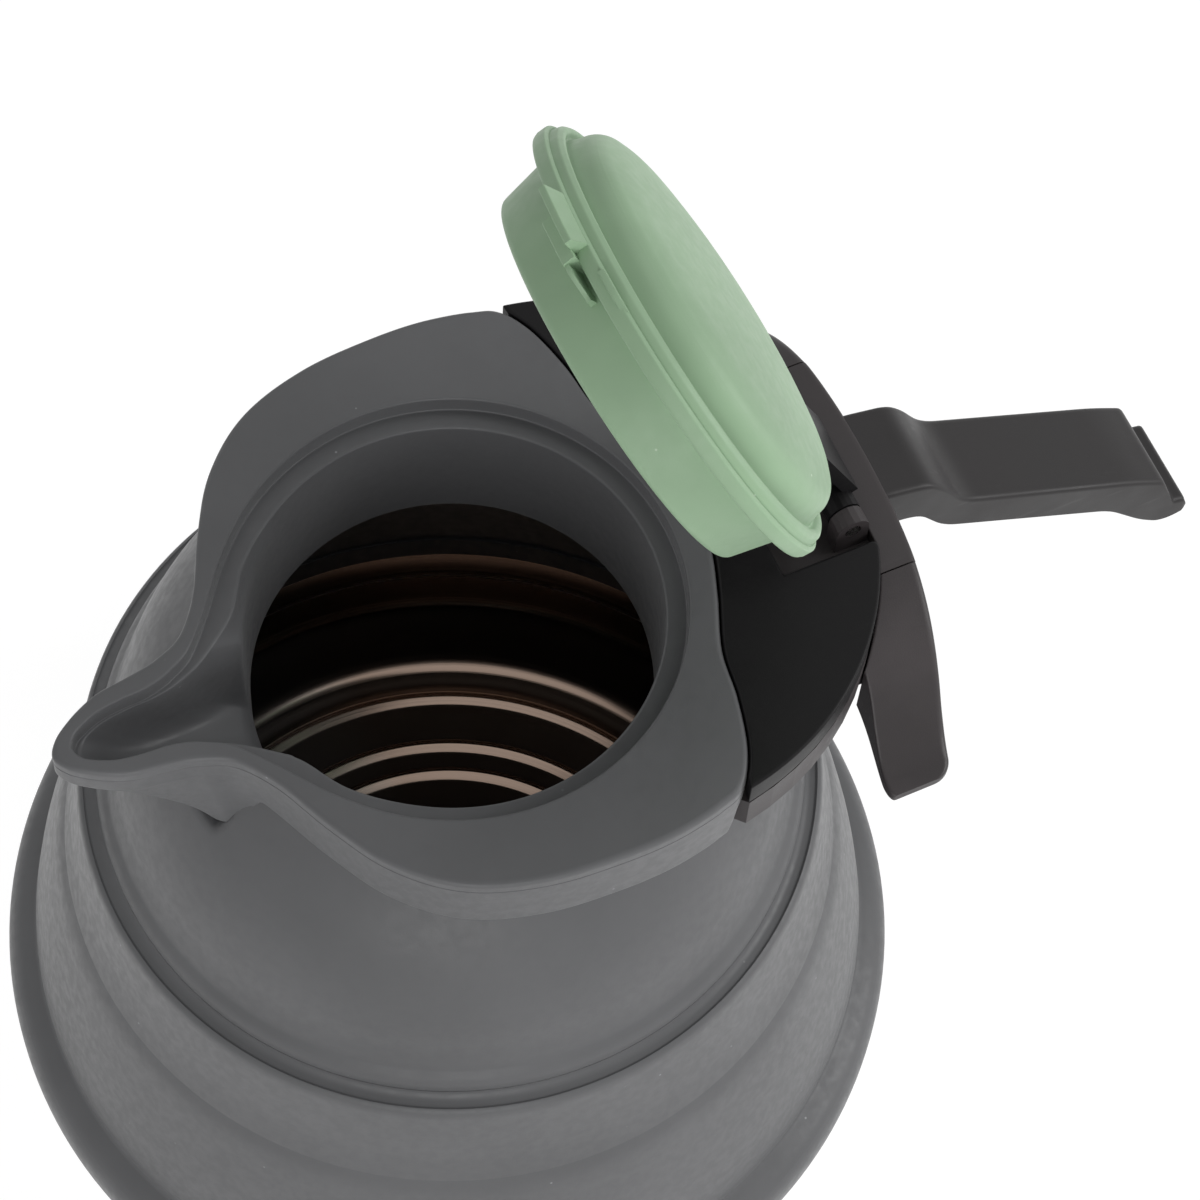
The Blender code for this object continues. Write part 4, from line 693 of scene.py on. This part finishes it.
class KETTLE_OT_collar(bpy.types.Operator):
    """The silicone collar: flat top, recess for the lid, mouth, pouring channel with its lip, skirt, and the keel
    under the channel. Its section is a closed run of rings, each with an outline, a height and a rounding. Shares of
    the angle from the spout (nose, pouring, keel) lower the rings there."""

    bl_idname = "kettle.collar"
    bl_label = "Pouring collar"

    def execute(self, context):
        look = finishes()["silicone"]
        edge = context.scene.kettle_sizes.silicone_round
        angle_outer, outer = round_outline(COLLAR_SHARES)
        angle_lip, lip = round_outline(LIP_SHARES)
        angle_throat, throat = round_outline(THROAT_SHARES)
        angle_channel, channel = round_outline(CHANNEL_SHARES)
        angle_skirt, skirt = round_outline(SKIRT_SHARES + COLLAR_SHARES[len(SKIRT_SHARES):])
        away = np.minimum(angle_outer, 360 - angle_outer)
        nose = 1 - smooth(away, 12.0, 36.0)
        skirt_end = smooth(away, 118.5, 121.0)
        even_away = np.minimum(np.abs(angle_channel), np.abs(360 - angle_channel))
        mouth = np.interp(even_away, (0, 20, 60, 180), (1.030, 1.005, 0.992, 0.992)) * MOUTH
        pouring = 1 - smooth(even_away, 12.0, 19.0)
        keel = 1 - smooth(away, 13.0, 20.0)
        wall, stub, parting, parting_depth = 0.0030, 0.0004, 0.0031, 0.00025
        channel_depth, channel_drop, channel_end, channel_slope = 0.0065, 0.0060, 0.0689, 0.45
        mouth_depth, mouth_drop, keel_depth, keel_roof = 0.0105, 0.0165, 0.0240, 0.0160
        channel_low = LEDGE - channel_depth - (channel_drop + (channel_end - channel) * channel_slope) * pouring
        mouth_low = LEDGE - mouth_depth - mouth_drop * pouring
        plate_low, ledge_low, neck_low = TOP - wall, LEDGE - wall, LEDGE - 0.0310
        neck, nose_low = MOUTH - 0.0007, 0.1850
        skirt_in = skirt - wall
        roomy = smooth(skirt_in, RECESS + wall, RECESS + wall * 2)
        under_outer = ledge_low + stub + (plate_low - ledge_low - stub) * roomy
        under_outer = under_outer + (nose_low - under_outer) * nose - keel_roof * keel
        under_inner = ledge_low + (nose_low - ledge_low) * nose - keel_roof * keel
        skirt_bottom = nose_low + (ledge_low - nose_low) * skirt_end - (nose_low - LEDGE + keel_depth) * keel
        step_under = np.minimum(RECESS + wall, skirt_in - stub)
        sections = [
            (angle_outer, outer, TOP, edge * 1.2),
            (angle_lip, lip, TOP, edge * 0.6),
            (angle_lip, lip, LEDGE, 0.0004),
            (angle_throat, throat, LEDGE, 0.0007),
            (angle_channel, channel, channel_low, 0.0016 + 0.0050 * pouring),
            (angle_channel, mouth, mouth_low, 0.0020),
            (angle_channel, neck, neck_low, 0.0008),
            (angle_channel, neck + wall, neck_low, 0.0008),
            (angle_channel, MOUTH + wall, under_inner, 0.0002),
            (angle_skirt, step_under, under_inner, 0),
            (angle_skirt, step_under, under_outer, 0),
            (angle_skirt, skirt_in, under_outer, 0),
            (angle_skirt, skirt_in, skirt_bottom, 0.0005),
            (angle_skirt, skirt, skirt_bottom, 0.0010),
            (angle_outer, outer, ledge_low, 0.0004),
            (angle_outer, outer, TOP - parting - 0.0002, 0),
            (angle_outer, outer - parting_depth, TOP - parting, 0),
            (angle_outer, outer, TOP - parting + 0.0002, 0),
        ]
        net = np.stack([ring_at(a, r, z) for a, r, z, _ in sections], 1)
        radii = np.column_stack([np.broadcast_to(soft, COLLAR_STEPS) for *_, soft in sections])
        collar = surface("spout_collar_skin", softened(net, radii, 5), look, loop_rows=True)
        seat(collar, "top", "silicone_grey", "spout_collar")
        return {"FINISHED"}


# ---- bracket


def cover_outline(inward):
    """The crescent's outline moved in: along the collar from the near horn to the far one, then back along the
    bracket's round, with a notch for the hinge. The points are as many for every inset."""
    horn, horn_tip, slot_half, slot_depth, slot_lead, samples = 123.0, 80.8, 0.0200, 0.0245, 4.2, 200
    angles, radii = round_outline(COLLAR_SHARES)
    start = horn + math.degrees(inward / 0.030)
    place = np.linspace(start, 360 - start, samples)
    line = ring_at(place, np.interp(place, angles, radii) + GAP + inward, 0)[:, :2]
    half, front, tip = slot_half + inward, BACK - slot_depth - inward, horn_tip - math.degrees(inward / 0.045)
    slot = math.degrees(math.asin(half / (BRACKET_R - inward)))
    far = bracket_arc(BRACKET_R - inward, tip, slot + slot_lead)
    near = far[::-1] * [1, -1]
    corner = bracket_arc(BRACKET_R - inward, slot, -slot, 1)
    outline = np.concatenate([line, far, corner[:1], [(front, half), (front, -half)], corner[1:], near])
    radii = np.zeros(len(outline))
    radii[[0, samples - 1, samples, -1]] = 0.0003
    notch = samples + len(far)
    radii[notch:notch + 4] = 0.0022, 0.0009, 0.0009, 0.0022
    return softened(outline[None], radii[None], 6)[0]


def bracket_arc(radius, start, end, steps=60):
    """Points on the bracket's round, between two angles from the handle direction."""
    turn = np.radians(np.linspace(start, end, steps + 1))
    return np.column_stack([BRACKET_X + radius * np.cos(turn), radius * np.sin(turn)])


class KETTLE_OT_bracket(bpy.types.Operator):
    """The black crescent cover; the frame under it keeps its solid."""

    bl_idname = "kettle.bracket"
    bl_label = "Bracket"

    def execute(self, context):
        look = finishes()
        edge = context.scene.kettle_sizes.plastic_round
        seam = TOP - 0.0072
        levels = [(0.0003, seam), (0, seam + 0.0004), (0, TOP - edge), (edge * 0.10, TOP - edge * 0.55),
                  (edge * 0.45, TOP - edge * 0.15), (edge, TOP)]
        net = [np.column_stack([cover_outline(inward), np.full(len(cover_outline(0)), z)]) for inward, z in levels]
        cover = surface("bracket_cover_skin", np.array(net), look["plastic"])
        seat(cover, "top", "black_plastic", "bracket_cover")
        # Painted light: the frame takes the lighter handle nylon rather than the cover's black, so that its wall reads
        # as lit
        paint(look["handle"], "bracket_frame")
        paint(look["screw"], *(f"bracket_screw_{number}" for number in range(1, 5)), "lid_hinge_pin")
        return {"FINISHED"}


# ---- handle

# Bar's side profile as shares of its length and drop, and the yoke's lines as shares of the wing's reach and depth
BAR_LENGTH, BAR_DROP, BAR_HALF, WING_DEPTH, WING_TIP = 0.0864, 0.0617, 0.0105, 0.0280, 0.0585
BAR_TOP_SHARES = ((0, 0), (0.047, 0.006), (0.163, 0.050), (0.207, 0.118), (0.272, 0.262), (0.801, 0.664),
                  (0.895, 0.752), (0.948, 0.945), (0.984, 0.960), (1, 1.010))
BAR_TOP_ROUND = (0, 0.0045, 0.0045, 0.0045, 0.0045, 0.0045, 0.0014, 0.0005, 0.0005, 0)
BAR_UNDER_SHARES = ((0, 0.224), (0.092, 0.224), (0.154, 0.254), (0.229, 0.400), (0.744, 0.815), (0.857, 0.995),
                    (0.915, 1.062), (0.957, 1.072), (1, 1.050))
YOKE_TOP_SHARES = ((0, 0.014), (0.17, 0.012), (0.29, 0), (0.40, -0.022), (0.51, -0.093), (0.60, -0.19),
                   (0.684, -0.325), (0.77, -0.51), (0.855, -0.73), (0.94, -0.88), (1, -0.935), (1.05, -0.955))
YOKE_UNDER_SHARES = ((0, -0.62), (0.40, -0.64), (0.55, -0.80), (0.70, -0.91), (0.85, -0.97), (1.05, -1.08))


def bent_line(shares, radius, where):
    """Height of a side profile at many places along it: straight runs between the share points, with each corner
    softened over the radius."""
    line = np.array(shares) * [BAR_LENGTH, -BAR_DROP]
    line = softened(line[None], radius, 6, closed=False)[0]
    return LEDGE + GAP + np.interp(where, line[:, 0], line[:, 1])


def yoke_front(y):
    """The front face hugs the bracket's round, x = B + sqrt(R^2 - y^2), and runs on nearly straight where that turns
    away."""
    hug = BRACKET_R + GAP
    straight = BACK - 0.0150 - 0.0022 * smooth(np.abs(y), 0.040, 0.061)
    return np.maximum(BRACKET_X + np.sqrt(np.maximum(hug ** 2 - y ** 2, 0)), straight)


def yoke_back(y):
    """The back face bows forward towards the tips."""
    return BACK + 0.0044 - 0.0070 * (y / WING_TIP) ** 2


class KETTLE_OT_handle(bpy.types.Operator):
    """Handle bar with its yoke and flange, the two wings and the fixing screws."""

    bl_idname = "kettle.handle"
    bl_label = "Handle"

    def execute(self, context):
        look = finishes()
        edge = context.scene.kettle_sizes.plastic_round
        # The bar takes the darker copy of the handle's nylon, as painted shade
        pieces = [self.bar(look["bar"], edge), self.yoke(look["handle"], edge)]
        low, high = (BACK - 0.0255, -0.0140), (BACK + 0.0020, 0.0140)
        pieces.append(plate("handle_flange_skin", low, high, look["plastic"]))
        for piece in pieces:
            seat(piece, "top", "black_plastic")
        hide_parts("handle_bar")
        for side, tag in ((-1, "near"), (1, "far")):
            wing = self.wing(side, f"handle_wing_{tag}_skin", look["handle"], edge)
            seat(wing, "top", "black_plastic", f"handle_wing_{tag}")
            low, high = (0.0579, side * 0.0354 - 0.0045), (0.0790, side * 0.0354 + 0.0045)
            seat(plate(f"wing_tongue_{tag}_skin", low, high, look["plastic"]), "top", "black_plastic")
        paint(look["screw"], "handle_screw_1", "handle_screw_2")
        return {"FINISHED"}

    def bar(self, material, edge):
        """Upright sections along the bar. Each is a block between the top and under lines, with a pocket in its
        underside that a rib interrupts three times: P = (x, corner y, corner z)."""
        start, end, rib, step = 0.26 * BAR_LENGTH, 0.74 * BAR_LENGTH, 0.0008, 0.0003
        pocket, side_wall, end_run, end_round = 0.0066, 0.0026, 0.0010, 0.0006
        cuts = np.linspace(start, end, 5)
        places = np.concatenate([np.linspace(0, BAR_LENGTH * 0.9999, 150), cuts - rib, cuts - rib - step, cuts + rib,
                                 cuts + rib + step])
        x = np.unique(np.round(places, 6))
        nearest = np.min(np.abs(x[:, None] - cuts[None]), 1)
        hollow = np.where((x > start) & (x < end) & (nearest > rib + step * 0.5), pocket, 0.0)
        top, under = bent_line(BAR_TOP_SHARES, BAR_TOP_ROUND, x), bent_line(BAR_UNDER_SHARES, 0.0040, x)
        half, wall = BAR_HALF + 0 * x, BAR_HALF - side_wall + 0 * x
        close = smooth(x, BAR_LENGTH - end_run, BAR_LENGTH) * end_round
        top, under, half = top - close, under + close, half - close
        corners = [(half, top), (half, under), (wall, under), (wall, under + hollow), (-wall, under + hollow),
                   (-wall, under), (-half, under), (-half, top)]
        corners = [(BACK + GAP + x, y, z) for y, z in corners]
        return lofted("handle_bar_skin", corners, [edge * 2, edge, 0, 0, 0, 0, edge, edge * 2], material)

    def yoke(self, material, edge):
        """Upright sections across the yoke's middle, between the two wings. In the cover's slot its top runs on
        towards the hinge as a sill over the bracket's frame."""
        seam, slot, sill_run, sill_depth = 0.0252, 0.01965, 0.0041, 0.0028
        y = np.unique(np.concatenate([np.linspace(-seam, seam, 61), [-0.0197, -0.0196, 0.0196, 0.0197]]))
        away = np.abs(y) / WING_TIP
        top = LEDGE + along(YOKE_TOP_SHARES, away) * WING_DEPTH
        under = LEDGE + along(YOKE_UNDER_SHARES, away) * WING_DEPTH
        front, back = yoke_front(y), yoke_back(y)
        sill = np.where(np.abs(y) < slot, HINGE.x + sill_run, front)
        shelf = top - sill_depth
        corners = [(sill, y, top), (back, y, top), (back, y, under), (front, y, under), (front, y, shelf),
                   (sill, y, shelf)]
        return lofted("handle_yoke_skin", corners, [edge * 0.6, edge * 2, edge, edge * 0.6, 0, 0], material)

    def wing(self, side, name, material, edge):
        """Upright sections from the yoke's seam to the tip, hollow from below, drawn in round the tip's corners."""
        corner, tip_past, lowest, end_wall = 0.0034, 0.0024, 0.0291, 0.0282
        side_wall, end_face, roof = 0.0025, 0.0030, 0.0022
        turn = np.radians(np.linspace(0, 90, 14))
        bend = WING_TIP + tip_past - corner * (1 - np.sin(turn))
        y = np.concatenate([[0.0255, 0.0258, 0.0280, 0.0284], np.linspace(0.0294, bend[0], 40)[:-1], bend])
        inside = (y > end_wall) & (y <= bend[0])
        tip_round = np.concatenate([np.zeros(len(y) - len(turn)), 1 - np.cos(turn)])
        away = y / WING_TIP
        top = LEDGE + along(YOKE_TOP_SHARES, away) * WING_DEPTH - tip_round * 0.0003
        under = np.maximum(LEDGE + along(YOKE_UNDER_SHARES, away) * WING_DEPTH, LEDGE - lowest)
        front, back = yoke_front(y) + tip_round * 0.0010, yoke_back(y) - tip_round * corner
        wall = np.where(inside, side_wall, end_face)
        ceiling = np.where(inside, np.maximum(top - roof, under), under)
        corners = [(back, under), (back, top), (front, top), (front, under), (front + wall, under),
                   (front + wall, ceiling), (back - wall, ceiling), (back - wall, under)]
        corners = [(x, side * y, z) for x, z in corners]
        return lofted(name, corners, [edge * 0.8, edge * 2.4, edge * 1.2, edge * 0.8, 0, 0, 0, 0], material)


# ---- lid

LID_LEVEL = LEDGE + GAP  # the underside of the lid's bead


class KETTLE_OT_lid(bpy.types.Operator):
    """The green lid with its bead, groove and tab, and the black core and arm that carry it."""

    bl_idname = "kettle.lid"
    bl_label = "Lid"

    def execute(self, context):
        look = finishes()
        top = LID_LEVEL + 0.0053
        inner = [(0, top + 0.0074, 0), (0.0120, top + 0.0069, 0.004), (0.0230, top + 0.0052, 0.005),
                 (0.0310, top + 0.0028, 0.004), (0.0348, top - 0.0010, 0.002)]
        plug = [(0.0348, 0.1867, 0.0004), (0.0383, 0.1867, 0.0014), (0.0408, LID_LEVEL, 0.0005)]
        band = [(0.0450, 0, 0.0004), (0.0454, 0.0010, 0), (0.0455, 0.0029, 0.0003), (0.0447, 0.0034, 0.0002),
                (0.0444, 0.0032, 0.0002), (0.0441, 0.0048, 0.0003), (0.0431, 0.0057, 0.0004),
                (0.0423, 0.0055, 0.0004), (0.0413, 0.0043, 0.0008)]
        band = [(r, LID_LEVEL + h, soft) for r, h, soft in band]
        shares = ((0.10, 1), (0.36, 0.985), (0.56, 0.945), (0.74, 0.84), (0.88, 0.62), (0.97, 0.36), (1, 0))
        dome = [(0.0405 * r, top + 0.0100 * h, 0.004 if h > 0.3 else 0.001) for h, r in shares]
        outline = np.array(inner + plug + band + dome)
        cover = turned("lid_cover_skin", outline[:, :2], look["lid"], outline[None, :, 2], 5,
                       context.scene.kettle_sizes.around, closed=False)
        seat(swing_mesh(cover), "lid", "lid_green", "lid_cover")
        for piece in self.tab(look["lid"]):
            seat(swing_mesh(piece), "lid", "lid_green")
        paint(look["plastic"], "lid_core", "lid_arm")
        paint(look["screw"], "lid_screw_1", "lid_screw_2")
        return {"FINISHED"}

    def tab(self, material):
        """The pull tab: its block on the bead, the step under it, the thin lip that runs on from the step, and the
        small pad that the moulding tool leaves on the bead. Sections are (radius, height over LID_LEVEL)."""
        block = [(0.0440, 0.0001), (0.0499, 0.0001), (0.0500, 0.0014), (0.0460, 0.0029), (0.0440, 0.0029)]
        root = [(0.0396, -0.0026), (0.0470, -0.0024), (0.0475, 0.0002), (0.0396, 0.0002)]
        lip = [(0.0396, -0.0026), (0.0462, -0.0024), (0.0466, -0.0015), (0.0396, -0.0012)]
        pad = [(0.0448, 0.0019), (0.0460, 0.0022), (0.0457, 0.0034), (0.0446, 0.0034)]
        strips = (("tab", block, 162.5, 178.0, 0.0003, 0.4, 0), ("lip_root", root, 168.0, 180.0, 0.0003, 0.4, 0),
                  ("lip", lip, 179.5, 188.5, 0.0002, 7.0, 0.45), ("pad", pad, 185.0, 196.0, 0.0002, 5.0, 0.45))
        return [self.strip(f"lid_{name}_skin", material, *rest) for name, *rest in strips]

    def strip(self, name, material, section, start, end, corner, taper, shrink):
        """A section swept round the lid from one angle to another. Over the taper before its far end it shrinks by a
        share towards its first corner's radius."""
        angle = np.concatenate([[start, start + 0.35], np.linspace(start + 1, end - taper, 18),
                                np.linspace(end - taper, end, 12)[1:]])
        slim = shrink * smooth(angle, end - taper, end)
        section = np.array(section) + [0, LID_LEVEL]
        radius = section[None, :, 0] + (section[0, 0] - section[None, :, 0]) * slim[:, None]
        height = np.broadcast_to(section[None, :, 1], radius.shape)
        line = softened(np.stack([radius, height], -1), corner, 4)
        return surface(name, swept(line[..., 0], line[..., 1], np.radians(angle)), material)


# ---- panel


class KETTLE_PT_panel(bpy.types.Panel):
    """The kettle's values and buttons."""

    bl_label = "Collapsible Kettle"
    bl_idname = "KETTLE_PT_panel"
    bl_space_type = "VIEW_3D"
    bl_region_type = "UI"
    bl_category = "Kettle"

    def draw(self, context):
        for group in (context.scene.kettle_sizes, context.scene.kettle_finishes, context.scene.kettle_studio):
            box = self.layout.box()
            for name in group.bl_rna.properties.keys():
                if name not in ("rna_type", "name"):
                    box.prop(group, name)
        for operator in OPERATORS:
            self.layout.operator(operator.bl_idname)


OPERATORS = (KETTLE_OT_stage, KETTLE_OT_base, KETTLE_OT_body, KETTLE_OT_collar, KETTLE_OT_bracket, KETTLE_OT_handle,
             KETTLE_OT_lid)
GROUPS = {"kettle_finishes": KettleFinishes, "kettle_sizes": KettleSizes, "kettle_studio": KettleStudio}


def register():
    for group in GROUPS.values():
        bpy.utils.register_class(group)
    for item in (*OPERATORS, KETTLE_PT_panel):
        bpy.utils.register_class(item)
    for name, group in GROUPS.items():
        setattr(bpy.types.Scene, name, PointerProperty(type=group))


def unregister():
    for name in GROUPS:
        delattr(bpy.types.Scene, name)
    for item in (KETTLE_PT_panel, *reversed(OPERATORS)):
        bpy.utils.unregister_class(item)
    for group in GROUPS.values():
        bpy.utils.unregister_class(group)


def main():
    """Makes every piece in order."""
    register()
    for operator in OPERATORS:
        group, name = operator.bl_idname.split(".")
        getattr(getattr(bpy.ops, group), name)()


if __name__ == "__main__":
    main()
